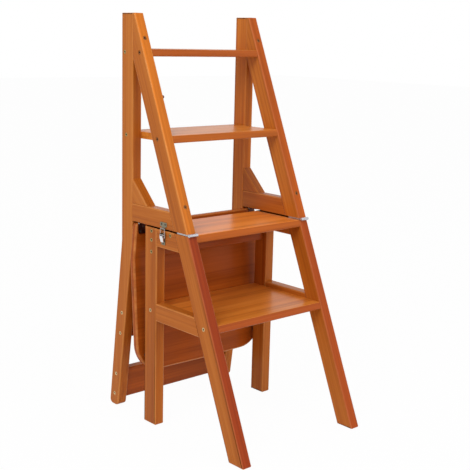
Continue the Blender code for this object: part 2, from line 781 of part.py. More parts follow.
def latch_base_mesh():
    """A plate on the rail with two ears that hold the lever's pin."""
    sheet = FIT + LATCH_SHEET
    top = LOWER_TOP - BASE_TOP_DROP
    plate = out_prism(rectangle(FIT, top - BASE_HEIGHT, sheet, top), BASE_WIDTH)
    ear_bottom = LEVER_PIVOT_UP - EAR_HEIGHT / 2
    ear_outline = fillet(rectangle(sheet - LATCH_SHEET / 4, ear_bottom,
                                   LEVER_PIVOT_OUT + EAR_WALL, ear_bottom + EAR_HEIGHT),
                         {1: EAR_HEIGHT / 3, 2: EAR_HEIGHT / 3}, steps=3)
    steps = []
    for side in (-1, 1):
        ear = out_prism(ear_outline, LATCH_SHEET)
        ear.transform(Matrix.Translation((0.0, side * (EAR_HALF - LATCH_SHEET / 2), 0.0)))
        steps.append(("UNION", ear))
    hole = cross_cylinder(LATCH_PIN_RADIUS + FIT, BASE_WIDTH, LEVER_PIVOT_OUT, LEVER_PIVOT_UP)
    steps.append(("DIFFERENCE", hole))
    return combine(plate, steps)


def latch_lever_mesh():
    """A channel of sheet, open towards the frame, pivoted at its top and holding the bail."""
    eye = LEVER_EYE_RADIUS
    bottom = LEVER_PIVOT_UP - LEVER_LENGTH
    top = LEVER_PIVOT_UP + eye
    inner = BAIL_PIVOT_OUT - BAIL_EYE_RADIUS
    cheek = fillet(((inner, BAIL_PIVOT_UP - BAIL_EYE_RADIUS),
                    (LEVER_OUT - LEVER_LIP, bottom), (LEVER_OUT, bottom),
                    (LEVER_OUT, LEVER_PIVOT_UP), (LEVER_PIVOT_OUT + eye, top),
                    (LEVER_PIVOT_OUT - eye, top),
                    (inner, BAIL_PIVOT_UP + BAIL_EYE_RADIUS)),
                   {0: BAIL_EYE_RADIUS, 3: eye, 5: eye}, steps=3)
    body = out_prism(cheek, 2 * LEVER_HALF)
    inside = out_prism(rectangle(0.0, bottom - OVERRUN, LEVER_OUT - LATCH_SHEET,
                                 top + OVERRUN), 2 * (LEVER_HALF - LATCH_SHEET))
    pivot = cross_cylinder(LATCH_PIN_RADIUS + FIT, BASE_WIDTH, LEVER_PIVOT_OUT, LEVER_PIVOT_UP)
    bail = cross_cylinder(BAIL_WIRE_RADIUS + FIT, BASE_WIDTH, BAIL_PIVOT_OUT, BAIL_PIVOT_UP)
    return combine(body, (("DIFFERENCE", inside), ("DIFFERENCE", pivot), ("DIFFERENCE", bail)))


def latch_bail_mesh():
    """A wire loop from the lever round the keeper's hook, its two ends turned inwards."""
    stub = LEVER_HALF - LATCH_SHEET + FIT
    foot = Vector((BAIL_PIVOT_OUT, 0.0, BAIL_PIVOT_UP))
    head = Vector((BAIL_BAR_OUT, 0.0, BAIL_BAR_UP))
    corners = [(foot, -stub), (foot, -BAIL_HALF), (head, -BAIL_HALF), (head, BAIL_HALF),
               (foot, BAIL_HALF), (foot, stub)]
    path = [Vector((place.x, across, place.z)) for place, across in corners]
    points = [path[0]]
    tight = BAIL_WIRE_RADIUS * 1.2
    for index in range(1, len(path) - 1):
        cut = BAIL_CORNER if index in (2, 3) else tight
        here = path[index]
        before = here + (path[index - 1] - here).normalized() * cut
        after = here + (path[index + 1] - here).normalized() * cut
        for share in (0.0, 0.35, 0.65, 1.0):
            keep = 1.0 - share
            points.append(before * keep * keep + here * 2 * keep * share + after * share * share)
    points.append(path[-1])
    curve = bpy.data.curves.new("bail", "CURVE")
    curve.dimensions = "3D"
    curve.bevel_depth = BAIL_WIRE_RADIUS
    curve.bevel_resolution = WIRE_RESOLUTION
    curve.use_fill_caps = True
    spline = curve.splines.new("POLY")
    spline.points.add(len(points) - 1)
    for knot, place in zip(spline.points, points):
        knot.co = (*place, 1.0)
    return plain_mesh(add_cutter("bail_wire", curve))


def latch_keeper_mesh():
    """A plate on the seat rail whose narrower tongue turns out into the bail's hook."""
    sheet = FIT + LATCH_SHEET
    top = UPPER_BOTTOM + KEEPER_RISE
    hook_top = BAIL_BAR_UP - BAIL_WIRE_RADIUS - LATCH_PLAY
    hook_bottom = hook_top - LATCH_SHEET
    outline = ((FIT, hook_bottom), (HOOK_OUT, hook_bottom), (HOOK_OUT, hook_top),
               (sheet, hook_top), (sheet, top), (FIT, top))
    steps = []
    for side in (-1, 1):
        ends = (side * HOOK_HALF, side * (KEEPER_WIDTH / 2 + OVERRUN))
        room = box_mesh((-OVERRUN, min(ends), hook_bottom - OVERRUN),
                        (HOOK_OUT + OVERRUN, max(ends), hook_top + KEEPER_SHOULDER))
        steps.append(("DIFFERENCE", room))
    return combine(out_prism(outline, KEEPER_WIDTH), steps)


def make_latches():
    base = latch_base_mesh()
    lever = latch_lever_mesh()
    bail = latch_bail_mesh()
    keeper = latch_keeper_mesh()
    pin = cross_cylinder(LATCH_PIN_RADIUS, EAR_HALF, LEVER_PIVOT_OUT, LEVER_PIVOT_UP)
    pivots = {"latch_lever": Vector((LEVER_PIVOT_OUT, 0.0, LEVER_PIVOT_UP)),
              "latch_bail": Vector((BAIL_PIVOT_OUT, 0.0, BAIL_PIVOT_UP))}
    pieces = {"latch_base": base, "latch_lever": lever, "latch_bail": bail,
              "latch_pin": pin, "latch_keeper": keeper}
    for side in (-1, 1):
        turn = 0.0 if side > 0 else math.pi
        spin = Matrix.Rotation(turn, 4, "Z")
        for name, mesh in pieces.items():
            origin = pivots.get(name, Vector((0.0, 0.0, 0.0)))
            copy = mesh.copy()
            copy.transform(Matrix.Translation(-origin))
            copy.transform(spin)
            piece = steel(name + "_" + side_name(side), copy)
            piece.location = spin @ origin + Vector((side * HALF_WIDTH, LATCH_PLACE, 0.0))


def centre_on_floor():
    """Moves the chair along Y, so that the origin is midway between its front and its rear."""
    bpy.context.view_layer.update()
    graph = bpy.context.evaluated_depsgraph_get()
    places = []
    for piece in chair_parts.objects:
        if piece.type == "MESH":
            box = piece.evaluated_get(graph).bound_box
            places.extend((piece.matrix_world @ Vector(corner)).y for corner in box)
    middle = (min(places) + max(places)) / 2
    for piece in list(chair_parts.objects) + list(cutters.objects):
        if piece.parent is None:
            piece.location.y -= middle


make_lower_half()
make_upper_half()
make_fold_hinges()
make_seat_hinges(make_seat())
make_stop_stud()
make_latches()
centre_on_floor()

for part in chair_parts.objects:
    if part.type == "MESH" and part.name.startswith(("fold_", "seat_hinge", "seat_bumper",
                                                     "latch_", "stop_")):
        part.data.shade_smooth()
        part.data.set_sharp_from_angle(angle=math.radians(SMOOTH_ANGLE))
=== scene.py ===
import math

import bpy
import numpy as np
from mathutils import Matrix, Vector, geometry


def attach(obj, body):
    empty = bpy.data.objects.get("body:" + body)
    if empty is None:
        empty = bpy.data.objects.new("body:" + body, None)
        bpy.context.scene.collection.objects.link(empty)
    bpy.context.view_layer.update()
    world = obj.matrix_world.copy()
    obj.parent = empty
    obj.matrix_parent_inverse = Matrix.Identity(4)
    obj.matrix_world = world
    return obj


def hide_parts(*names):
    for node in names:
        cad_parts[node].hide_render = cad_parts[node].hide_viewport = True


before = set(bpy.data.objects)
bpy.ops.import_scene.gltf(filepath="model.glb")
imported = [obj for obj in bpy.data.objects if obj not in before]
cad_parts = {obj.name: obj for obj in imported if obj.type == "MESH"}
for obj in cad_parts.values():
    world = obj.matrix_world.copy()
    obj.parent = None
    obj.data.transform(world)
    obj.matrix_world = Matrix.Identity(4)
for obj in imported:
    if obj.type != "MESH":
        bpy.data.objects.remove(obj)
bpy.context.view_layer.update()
print("frame loaded:", len(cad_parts), "nodes")

# sizes that the CAD pieces have, in metres, with the origin on the floor
chair = {
    "height": 0.900, "halfWidth": 0.177, "side": 0.0245,
    "foldHeight": 0.4503, "jointGap": 0.0036, "foldPlace": -0.0043,
    "postRear": 0.2328, "postWidth": 0.040, "postFoot": 0.0315, "postFootHeight": 0.002,
    "kinkRearDrop": 0.0465, "kinkFrontDrop": 0.0335, "kickSlope": 0.118,
    "stileWidth": 0.041, "stileTip": 0.0047, "legRear": 0.145, "legWidth": 0.0405,
    "rail": 0.0395, "midRailDrop": 0.0285, "gusset": 0.054,
    "step": 0.0156, "stepInset": 0.0008, "step1Drop": 0.178, "step3Rise": 0.011,
    "step4Drop": 0.0745, "apron": 0.018, "apronHeight": 0.050,
    "backRail": 0.018, "backRailHeight": 0.074, "backMid": 0.2067, "crest": 0.0545,
    "seatHinge": 0.172, "seatLift": 0.0063,
    "arris": 0.0028, "ease": 0.0004, "footRound": 0.0012, "stileFootRound": 0.0015,
    "postFootRound": 0.010,
}
# depths above are measured from the stile's front at the fold, and this centres the object
depthShift = -0.045165
sides = ((-1, "_left"), (1, "_right"))
inner = chair["halfWidth"] - chair["side"]
sideMiddle = chair["halfWidth"] - chair["side"] / 2
lowerTop = chair["foldHeight"] - chair["jointGap"] / 2
upperBottom = chair["foldHeight"] + chair["jointGap"] / 2
postFront = chair["postRear"] - chair["postWidth"]
legFront = chair["legRear"] - chair["legWidth"]
stileSlope = (postFront - chair["stileTip"]) / (chair["height"] - chair["foldHeight"])
stileLean = math.atan(stileSlope)
stileDepth = chair["stileWidth"] / math.cos(stileLean)
kinkRear = lowerTop - chair["kinkRearDrop"]
kinkFront = lowerTop - chair["kinkFrontDrop"]
postFootRear = chair["postRear"] + (kinkRear - chair["postFootHeight"]) * chair["kickSlope"]
postFootFront = postFootRear - chair["postFoot"]
step2Top = lowerTop
step1Top = step2Top - chair["step1Drop"]
step4Top = chair["height"] - chair["step4Drop"]
step3Top = (step2Top + step4Top) / 2 + chair["step3Rise"]
seatHinge = Vector((0.0, chair["seatHinge"] + depthShift, upperBottom - chair["seatLift"] / 2))
legMiddle = (legFront + chair["legRear"]) / 2
apronMiddle = step2Top - chair["step"] - chair["apronHeight"] / 2


def stileFront(height):
    return (height - chair["foldHeight"]) * stileSlope


def postMiddle(height):
    front = postFront
    if height < kinkFront:
        share = (kinkFront - height) / (kinkFront - chair["postFootHeight"])
        front += (postFootFront - postFront) * share
    rear = chair["postRear"] + max(kinkRear - height, 0.0) * chair["kickSlope"]
    return (front + rear) / 2


def rectangle(left, right, bottom, top):
    return [(left, bottom), (right, bottom), (right, top), (left, top)]


def meshFrom(name, points, faces):
    mesh = bpy.data.meshes.new(name)
    mesh.from_pydata(np.asarray(points).tolist(), [], faces)
    mesh.validate()
    mesh.update()
    return mesh


def addStainAndPaintedLight(mesh, isArris, arris, stain=1.0, isJoint=0.0, edgeStain=0.0):
    # faces that look towards -Y are darker and redder: painted shade on the side turned from the
    # lamps, and edges that are end grain can take the full stain. Rounded arrises are lighter:
    # rubbed wear with a painted highlight. The level faces that close on each other at the joint
    # are left
    # unpolished and darker: painted shade in the gap between the halves
    normals, centres = np.zeros((2, len(mesh.polygons), 3))
    mesh.polygons.foreach_get("normal", normals.ravel())
    mesh.polygons.foreach_get("center", centres.ravel())
    edges = len(isArris)
    fullShadeFrom, noShadeBelow, levelFrom = 0.85, 0.35, 0.9
    stained = np.clip((-normals[:, 1] - noShadeBelow) / (fullShadeFrom - noShadeBelow), 0, 1)
    stained[:edges] = np.maximum(stained[:edges], edgeStain)
    # the wear attribute marks the rounded arrises, which are drawn lighter: rubbed wear with a
    # painted highlight
    wear = np.zeros(len(normals))
    wear[:edges] = isArris * min(arris / chair["arris"], 1.0)
    # level faces at the joint: left unpolished, and darkened as painted shade in the gap
    near = np.abs(centres[:, 2] - chair["foldHeight"]) < chair["jointGap"]
    raw = (near & (np.abs(normals[:, 2]) > levelFrom)) * isJoint
    for name, values in (("stain", stained * stain), ("wear", wear), ("raw", raw)):
        mesh.attributes.new(name, "FLOAT", "FACE").data.foreach_set("value", values)


def addPiece(name, mesh, body, material, replaced=(), sharp=32.0):
    piece = bpy.data.objects.new(name, mesh)
    bpy.context.scene.collection.objects.link(piece)
    mesh.shade_smooth()
    mesh.set_sharp_from_angle(angle=math.radians(sharp))
    normals = piece.modifiers.new("flatFaces", "WEIGHTED_NORMAL")
    normals.keep_sharp = True
    normals.weight = 60
    mesh.materials.append(material)
    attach(piece, body)
    if replaced:
        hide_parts(*replaced)
    return piece


def filletOutline(corners, radii, eases, steps=4):
    # each corner becomes an arc that touches both of its edges: the centre stands on the
    # corner's bisector at radius / sin(half angle). eases gives the arris of each edge, and
    # an arc takes values between those of its two edges
    corners = np.asarray(corners, float)
    count = len(corners)
    points, ease = [], []
    for i in range(count):
        here = corners[i]
        radius = radii.get(i, 0.0) if isinstance(radii, dict) else radii
        if radius <= 0.0:
            points.append(here)
            ease.append(eases[i])
            continue
        toLast = corners[i - 1] - here
        toNext = corners[(i + 1) % count] - here
        toLast /= np.linalg.norm(toLast)
        toNext /= np.linalg.norm(toNext)
        half = math.acos(np.clip(toLast @ toNext, -1, 1)) / 2
        bisector = toLast + toNext
        bisector /= np.linalg.norm(bisector)
        centre = here + bisector * radius / math.sin(half)
        start = here + toLast * radius / math.tan(half) - centre
        end = here + toNext * radius / math.tan(half) - centre
        turn = math.atan2(start[0] * end[1] - start[1] * end[0], start @ end)
        share = np.linspace(0, 1, steps + 1)
        c, s = np.cos(turn * share), np.sin(turn * share)
        arc = np.stack([start[0] * c - start[1] * s, start[0] * s + start[1] * c], 1) + centre
        points.extend(arc)
        before, after = eases[i - 1], eases[i]
        ease.extend(before + (after - before) * (share[:-1] + 0.5 / steps))
        ease.append(after)
    return np.array(points), np.array(ease)


def moved(parts, place):
    place = np.asarray(place)
    return [(grid @ place[:3, :3].T + place[:3, 3], faces) for grid, faces in parts]


def ringFaces(rings, count, closed=True):
    # quads between rings of points that follow each other, and the two end faces
    ring, spot = np.meshgrid(np.arange(rings - 1), np.arange(count), indexing="ij")
    here, ahead = ring * count + spot, ring * count + (spot + 1) % count
    faces = np.stack([here, ahead, ahead + count, here + count], -1).reshape(-1, 4).tolist()
    if closed:
        faces.append(list(range(count))[::-1])
        faces.append(list(range((rings - 1) * count, rings * count)))
    return faces


def acrossAxes(outward):
    outward = np.asarray(outward, float)
    first = np.cross(outward, (0.0, 0.0, 1.0) if abs(outward[2]) < 0.9 else (1.0, 0.0, 0.0))
    first /= np.linalg.norm(first)
    return first, np.cross(outward, first)


def turnedParts(profile, centre, outward, count=24, spin=0.0, closed=True):
    # rings round an axis: each profile point is (radius, height, hex share), and a hexagon's
    # radius at an angle is r cos 30 / cos(angle within its side)
    first, second = acrossAxes(outward)
    angle = np.arange(count) * 2 * math.pi / count
    side = math.cos(math.pi / 6) / np.cos(np.mod(angle, math.pi / 3) - math.pi / 6)
    points = []
    for radius, height, hexShare in profile:
        reach = (radius * (1 + (side - 1) * hexShare))[:, None]
        turn = (angle + spin)[:, None]
        points.append(np.asarray(centre) + np.asarray(outward) * height
                      + reach * (np.cos(turn) * first + np.sin(turn) * second))
    return np.concatenate(points), ringFaces(len(profile), count, closed)


def joinParts(parts):
    points, faces, total = [], [], 0
    for grid, some in parts:
        points.append(np.asarray(grid))
        faces.extend([[k + total for k in face] for face in some])
        total += len(grid)
    return np.concatenate(points), faces


def boreHoles(points, faces, holes, count=24):
    # holes are (centre, outward, mouth radius, shank radius, rim depth, cone depth, depth).
    # The flat face that a mouth lies in is cut again round it, and the hole's wall is added
    points, pierced = np.asarray(points, float), {}
    flat, facingShare = 1e-5, 0.999
    for hole in holes:
        centre, outward = np.asarray(hole[0]), np.asarray(hole[1])
        best, bestArea = None, 0.0
        for i, face in enumerate(faces):
            corners = points[face]
            newell = np.cross(corners, np.roll(corners, -1, 0)).sum(0) / 2
            area = newell @ outward
            level = abs((corners - centre) @ outward).max() < flat
            faced = area > facingShare * np.linalg.norm(newell)
            if level and faced and area > bestArea:
                best, bestArea = i, area
        if best is not None:
            pierced.setdefault(best, []).append(hole)
    faces = list(faces)
    for i, group in pierced.items():
        outer = list(faces[i])
        loops, index = [[Vector(points[k]) for k in outer]], list(outer)
        for centre, outward, mouth, shank, rim, cone, depth in group:
            start = len(points)
            wall, wallFaces = turnedParts(
                [(mouth, 0.0, 0.0), (mouth, -rim, 0.0), (shank, -cone, 0.0),
                 (shank, -depth, 0.0)], centre, outward, count, closed=False)
            points = np.concatenate([points, wall])
            loops.append([Vector(p) for p in wall[:count]])
            index += range(start, start + count)
            faces += [[k + start for k in face] for face in wallFaces]
            faces.append([start + 3 * count + k for k in range(count)])
        towards, cut = np.asarray(Vector(group[0][1])), []
        for triangle in geometry.tessellate_polygon(loops):
            a, b, c = (index[k] for k in triangle)
            normal = np.cross(points[b] - points[a], points[c] - points[a])
            cut.append([a, b, c] if normal @ towards > 0 else [a, c, b])
        faces[i] = cut[0]
        faces += cut[1:]
    return points, faces


def blockParts(points, eases, low, high, arris, place, steps=5):
    # a quarter-round profile carried along the outline at both faces: at angle a the ring
    # has moved arris * (1 - cos a) away from its face, and its outline is drawn in by
    # ease * (1 - sin a), where lines drawn in from neighbouring edges cross
    area = np.sum(points[:, 0] * np.roll(points[:, 1], -1)
                  - np.roll(points[:, 0], -1) * points[:, 1])
    if area < 0:
        points = points[::-1]
        eases = np.roll(eases[::-1], -1)
    along = np.roll(points, -1, 0) - points
    along /= np.linalg.norm(along, axis=1)[:, None]
    inward = np.stack([-along[:, 1], along[:, 0]], 1)
    last = np.roll(inward, 1, 0)
    angle = np.linspace(0, math.pi / 2, steps + 1)
    draw = (1 - np.sin(angle))[:, None]
    offsetNext = draw * eases[None, :]
    offsetLast = draw * np.roll(eases, 1)[None, :]
    cross = last[:, 0] * inward[:, 1] - last[:, 1] * inward[:, 0]
    nearlyStraight = 0.02
    straight = np.abs(cross) < nearlyStraight
    safe = np.where(straight, 1.0, cross)
    moveX = (offsetLast * inward[:, 1] - offsetNext * last[:, 1]) / safe
    moveY = (offsetNext * last[:, 0] - offsetLast * inward[:, 0]) / safe
    mean = (offsetLast + offsetNext) / 2
    moveX = np.where(straight, mean * inward[:, 0], moveX)
    moveY = np.where(straight, mean * inward[:, 1], moveY)
    ringX = points[:, 0] + moveX
    ringY = points[:, 1] + moveY
    rise = arris * (1 - np.cos(angle))
    levels = np.concatenate([low + rise, (high - rise)[::-1]])
    ringX = np.concatenate([ringX, ringX[::-1]])
    ringY = np.concatenate([ringY, ringY[::-1]])
    ringZ = np.repeat(levels[:, None], len(points), 1)
    grid = np.stack([ringX, ringY, ringZ], -1).reshape(-1, 3)
    rings, count = ringX.shape
    grid, faces = moved([(grid, ringFaces(rings, count))], place)[0]
    return grid, faces, np.repeat(np.arange(rings - 1) != steps, count)


def blockSurface(name, points, eases, low, high, arris, place, steps=5, holes=(), **stains):
    grid, faces, isArris = blockParts(points, eases, low, high, arris, place, steps)
    grid, faces = boreHoles(grid, faces, holes)
    mesh = meshFrom(name, grid, faces)
    addStainAndPaintedLight(mesh, isArris, arris, **stains)
    return mesh


# outlines drawn in depth and height stand upright along Y, and their thickness along X
facing = np.array([[0.0, 0, 1, 0], [1, 0, 0, 0], [0, 1, 0, 0], [0, 0, 0, 1]])
sidePlace = facing.copy()
sidePlace[1, 3] = depthShift


# the stained tone is partly painted shade for faces towards -Y; the worn tone is rubbed wear
# with a painted highlight; the raw tone is painted shade at the joint
timberTones = {
    "light": (0.560, 0.180, 0.026), "middle": (0.445, 0.118, 0.012),
    "dark": (0.270, 0.058, 0.006), "stained": (0.430, 0.070, 0.004),
    "worn": (0.680, 0.275, 0.075), "pore": (0.150, 0.032, 0.006),
    "raw": (0.120, 0.022, 0.003),
    "roughness": 0.34, "specular": 0.12, "coat": 0.05, "coatRoughness": 0.14,
}
# noises of the grain: scale, detail, roughness and scale along the grain
grain = {
    "bend": (7.0, 2.0, 0.5, 1.3), "broad": (34.0, 3.0, 0.5, 0.9),
    "streak": (190.0, 4.0, 0.58, 3.2), "hair": (900.0, 4.0, 0.6, 16.0),
    "pore": (1500.0, 2.0, 0.5, 34.0), "rub": (60.0, 3.0, 0.5, 12.0),
    "bendDepth": 0.034, "ringsPerMetre": 120.0, "pithNear": 0.02, "pithFar": 0.07,
    "broadShare": 0.80, "streakShare": 0.55, "hairShare": 0.22, "lateShare": 0.11,
    "contrast": 0.30, "drift": 0.04, "stainShare": 0.75, "stainDark": 0.45,
    "poreFrom": 0.66, "poreTo": 0.78, "poreShare": 0.35, "poreDepth": 0.7,
    "rubLeast": 0.15, "rubMost": 0.62, "gloss": 0.07, "bump": (0.0003, 0.10),
}
# steps take lighter tones, painted light on their tops that face the lamps, and a thicker coat
stepLitTones = dict(timberTones, light=(0.660, 0.226, 0.040), middle=(0.530, 0.150, 0.018),
                 dark=(0.330, 0.078, 0.009), coat=0.10)
# boards that are lighter or darker than the rest: partly their own tone, partly painted light
# and shade where more or less light fell on them, with a painted reflection on step_1's top.
# Factors on red, green and blue of their plain tones, of the stained and shaded tone and of the
# tone of the worn and highlighted arrises
boardToneAndLightTints = {
    "upper_stile_left": {"stained": (1.95, 3.20, 4.20)},
    "upper_stile_right": {"plain": (1.15, 1.25, 1.20), "stained": (1.45, 1.40, 1.20),
                          "worn": (0.80, 0.55, 0.60)},
    "lower_stile_left": {"stained": (0.90, 0.30, 0.40), "worn": (0.75, 0.50, 0.60)},
    "lower_stile_right": {"stained": (0.95, 0.60, 0.60), "worn": (0.75, 0.50, 0.60)},
    "post_right": {"plain": (1.28, 1.38, 1.50), "stained": (1.50, 1.70, 2.00)},
    "step_1": {"plain": (1.20, 1.30, 1.35), "stained": (0.90, 0.50, 0.50)},
    "step_2": {"plain": (1.48, 1.52, 1.45)},
    "step_3": {"plain": (1.23, 1.35, 1.40), "stained": (1.15, 1.30, 1.20)},
}


def tinted(tones, label):
    tint = boardToneAndLightTints.get(label, {})
    plain, changed = tint.get("plain", (1.0, 1.0, 1.0)), dict(tones)
    tint = {"light": plain, "middle": plain, "dark": plain, **tint}
    for key in set(tint) & set(tones):
        changed[key] = tuple(min(a * b, 1.0) for a, b in zip(tones[key], tint[key]))
    return changed


class NodeMaker:
    # short calls for the nodes of a material or of the world
    def __init__(self, owner):
        owner.use_nodes = True
        self.owner, tree = owner, owner.node_tree
        self.nodes, self.links = tree.nodes, tree.links
        self.shader = self.nodes.get("Principled BSDF") or self.nodes["Background"]

    def put(self, value, socket):
        if hasattr(value, "is_output"):
            self.links.new(value, socket)
        else:
            socket.default_value = value

    def give(self, **values):
        # sets or links the shader's inputs, whose names are the keys with spaces left out
        for socket in self.shader.inputs:
            if socket.name.replace(" ", "") in values:
                self.put(values[socket.name.replace(" ", "")], socket)

    def add(self, kind, output, inputs=(), **settings):
        # a new node with its settings made and its inputs set or linked
        made = self.nodes.new("ShaderNode" + kind)
        for name, value in settings.items():
            setattr(made, name, value)
        for name, value in dict(inputs).items():
            self.put(value, made.inputs[name])
        return made.outputs[output]

    def math(self, kind, first, second=0.0):
        return self.add("Math", "Value", {0: first, 1: second}, operation=kind)

    def mapping(self, vector, kind="POINT", **values):
        return self.add("Mapping", "Vector", {**values, "Vector": vector}, vector_type=kind)

    def noise(self, vector, scale, detail=2.0, roughness=0.5, along=None):
        if along is not None:
            vector = self.mapping(vector, Scale=(scale, scale, along))
            scale = 1.0
        return self.add("TexNoise", "Fac", {"Scale": scale, "Detail": detail,
                                            "Roughness": roughness, "Vector": vector})

    def spread(self, value, fromLow, fromHigh, toLow=0.0, toHigh=1.0):
        return self.add("MapRange", "Result", {"From Min": fromLow, "From Max": fromHigh,
                                               "To Min": toLow, "To Max": toHigh,
                                               "Value": value})

    def ramp(self, value, stops):
        made = self.nodes.new("ShaderNodeValToRGB")
        elements = made.color_ramp.elements
        while len(elements) < len(stops):
            elements.new(0.5)
        for element, (spot, colour) in zip(elements, stops):
            element.position = spot
            element.color = (*colour, 1.0)
        self.links.new(value, made.inputs["Fac"])
        return made.outputs["Color"]

    def mix(self, share, first, second):
        first, second = (value if hasattr(value, "is_output") else (*value, 1.0)
                         for value in (first, second))
        return self.add("Mix", 2, {"Factor": share, 6: first, 7: second}, data_type="RGBA")

    def attribute(self, name):
        return self.add("Attribute", "Fac", attribute_name=name)

    def objectPlace(self):
        return self.add("TexCoord", "Object")

    def setBump(self, height, distance, strength):
        self.give(Normal=self.add("Bump", "Normal", {
            "Strength": strength, "Distance": distance, "Height": height}))


def timberFinish(name, direction, seed, tones=timberTones):
    # growth rings round a pith line that runs beside the piece along the grain: the distance
    # from that line, bent by long slow noise, is counted into early and late wood. Broad
    # bands, streaks and hairlines, each a noise drawn out along the grain, lie over them
    made = NodeMaker(bpy.data.materials.new(name))
    rng = np.random.default_rng(seed)
    turn = Vector(direction).normalized().to_track_quat("Z", "Y").to_euler()
    offset = rng.uniform(-0.4, 0.4, 3)
    along = made.mapping(made.objectPlace(), "TEXTURE", Rotation=turn)
    along = made.mapping(along, Location=offset)
    apart = made.nodes.new("ShaderNodeSeparateXYZ")
    made.links.new(along, apart.inputs["Vector"])
    pith = [float(offset[k] + rng.uniform(grain["pithNear"], grain["pithFar"])
                  * rng.choice((-1, 1))) for k in (0, 1)]
    away = [made.math("POWER", made.math("SUBTRACT", apart.outputs[k], pith[k]), 2.0)
            for k in (0, 1)]
    radius = made.math("SQRT", made.math("ADD", *away))
    bend, broad, streak, hair, pore, rub = (
        made.noise(along, *grain[kind])
        for kind in ("bend", "broad", "streak", "hair", "pore", "rub"))
    bent = made.math("ADD", radius, made.math("MULTIPLY", bend, grain["bendDepth"]))
    ring = made.math("FRACT", made.math("MULTIPLY", bent, grain["ringsPerMetre"]))
    late = made.ramp(ring, [(spot, (grey,) * 3) for spot, grey in (
        (0.0, 0.3), (0.6, 0.46), (0.88, 0.85), (1.0, 0.3))])
    shade = made.math("MULTIPLY", broad, grain["broadShare"])
    for noise, kind in ((streak, "streakShare"), (hair, "hairShare"), (late, "lateShare")):
        shade = made.math("ADD", shade, made.math("MULTIPLY", noise, grain[kind]))
    middle = (0.5 * (grain["broadShare"] + grain["streakShare"] + grain["hairShare"]) + 0.05
              + float(rng.uniform(-grain["drift"], grain["drift"])))
    share = made.spread(shade, middle - grain["contrast"], middle + grain["contrast"])
    colour = made.ramp(share, [(0.0, tones["light"]), (0.5, tones["middle"]),
                               (1.0, tones["dark"])])
    # the stained tone goes where the stain attribute is: painted shade on faces towards -Y, and
    # stain on end-grain edges
    stained = made.mix(share, tones["stained"],
                       tuple(grain["stainDark"] * c for c in tones["stained"]))
    stain = made.math("MULTIPLY", made.attribute("stain"), grain["stainShare"])
    colour = made.mix(stain, colour, stained)
    pit = made.spread(pore, grain["poreFrom"], grain["poreTo"])
    colour = made.mix(made.math("MULTIPLY", pit, grain["poreShare"]), colour, tones["pore"])
    # the arrises' lighter tone, rubbed wear with a painted highlight, varies along the grain
    rubbedAndHighlit = made.spread(rub, 0.3, 0.7, grain["rubLeast"], grain["rubMost"])
    worn = made.math("MULTIPLY", made.attribute("wear"), rubbedAndHighlit)
    colour = made.mix(worn, colour, tones["worn"])
    # the joint's level faces are rough and unpolished, and darker: painted shade in the gap
    raw = made.attribute("raw")
    colour = made.mix(raw, colour, tones["raw"])
    gloss = made.spread(hair, 0.2, 0.8, tones["roughness"] - grain["gloss"],
                        tones["roughness"] + grain["gloss"])
    made.give(BaseColor=colour, Roughness=made.math("MAXIMUM", gloss, raw),
              SpecularIORLevel=made.spread(raw, 0.0, 1.0, tones["specular"], 0.0),
              CoatWeight=made.spread(raw, 0.0, 1.0, tones["coat"], 0.0),
              CoatRoughness=tones["coatRoughness"])
    pits = made.math("MULTIPLY", pit, grain["poreDepth"])
    made.setBump(made.math("SUBTRACT", hair, pits), *grain["bump"])
    return made.owner


def metalFinish(name, colour, roughness):
    # plated metal: tint, roughness and a faint bump follow fine noise
    scale, cloudShare, wear, dark = 300.0, 0.2, 0.05, 0.88
    made = NodeMaker(bpy.data.materials.new(name))
    place = made.objectPlace()
    grit = made.noise(place, scale, 4.0)
    cloud = made.noise(place, scale * cloudShare, 2.0)
    darker = tuple(c * dark for c in colour)
    made.give(BaseColor=made.ramp(cloud, [(0.3, darker), (0.7, colour)]), Metallic=1.0,
              Roughness=made.spread(grit, 0.0, 1.0, max(roughness - wear, 0.03),
                                    roughness + wear))
    made.setBump(grit, 0.0001, 0.05)
    return made.owner


def rubberFinish(name, colour):
    scale, dark = 900.0, 0.75
    made = NodeMaker(bpy.data.materials.new(name))
    grit = made.noise(made.objectPlace(), scale, 3.0)
    darker = tuple(c * dark for c in colour)
    made.give(BaseColor=made.ramp(grit, [(0.3, darker), (0.75, colour)]), Roughness=0.55)
    made.setBump(grit, 0.0002, 0.15)
    return made.owner


screw = {
    "head": 0.0043, "shank": 0.0024, "room": 0.0003, "rim": 0.0006, "cone": 0.0026,
    "depth": 0.0034, "sunk": 0.00015, "socket": 0.0021, "socketDepth": 0.0018,
    "fronts": (0.848, 0.5061), "apronSpacing": 0.026, "backSpacing": 0.050,
    "legShift": 0.0022, "midShift": 0.003, "railPlace": 0.0575,
    "step1Share": 0.50, "step3Share": 0.57, "step4Share": 0.34,
    "step3Inset": 0.017, "step4Inset": 0.011, "soft": 0.06, "rimLow": 0.20, "rimHigh": 0.14,
    "plateRoom": 0.0001, "plateCone": 0.8, "plateDepth": 0.9, "plateHead": 0.85,
}
step1, step2, step3, step4 = (
    top - chair["step"] / 2 for top in (step1Top, step2Top, step3Top, step4Top))


def stileScrew(height, share):
    return stileFront(height) + share * stileDepth, height


def railScrews(rail, shift):
    heights = [rail + sign * screw["backSpacing"] / 2 for sign in (1, -1)]
    return [(postMiddle(height) - shift, height) for height in heights]


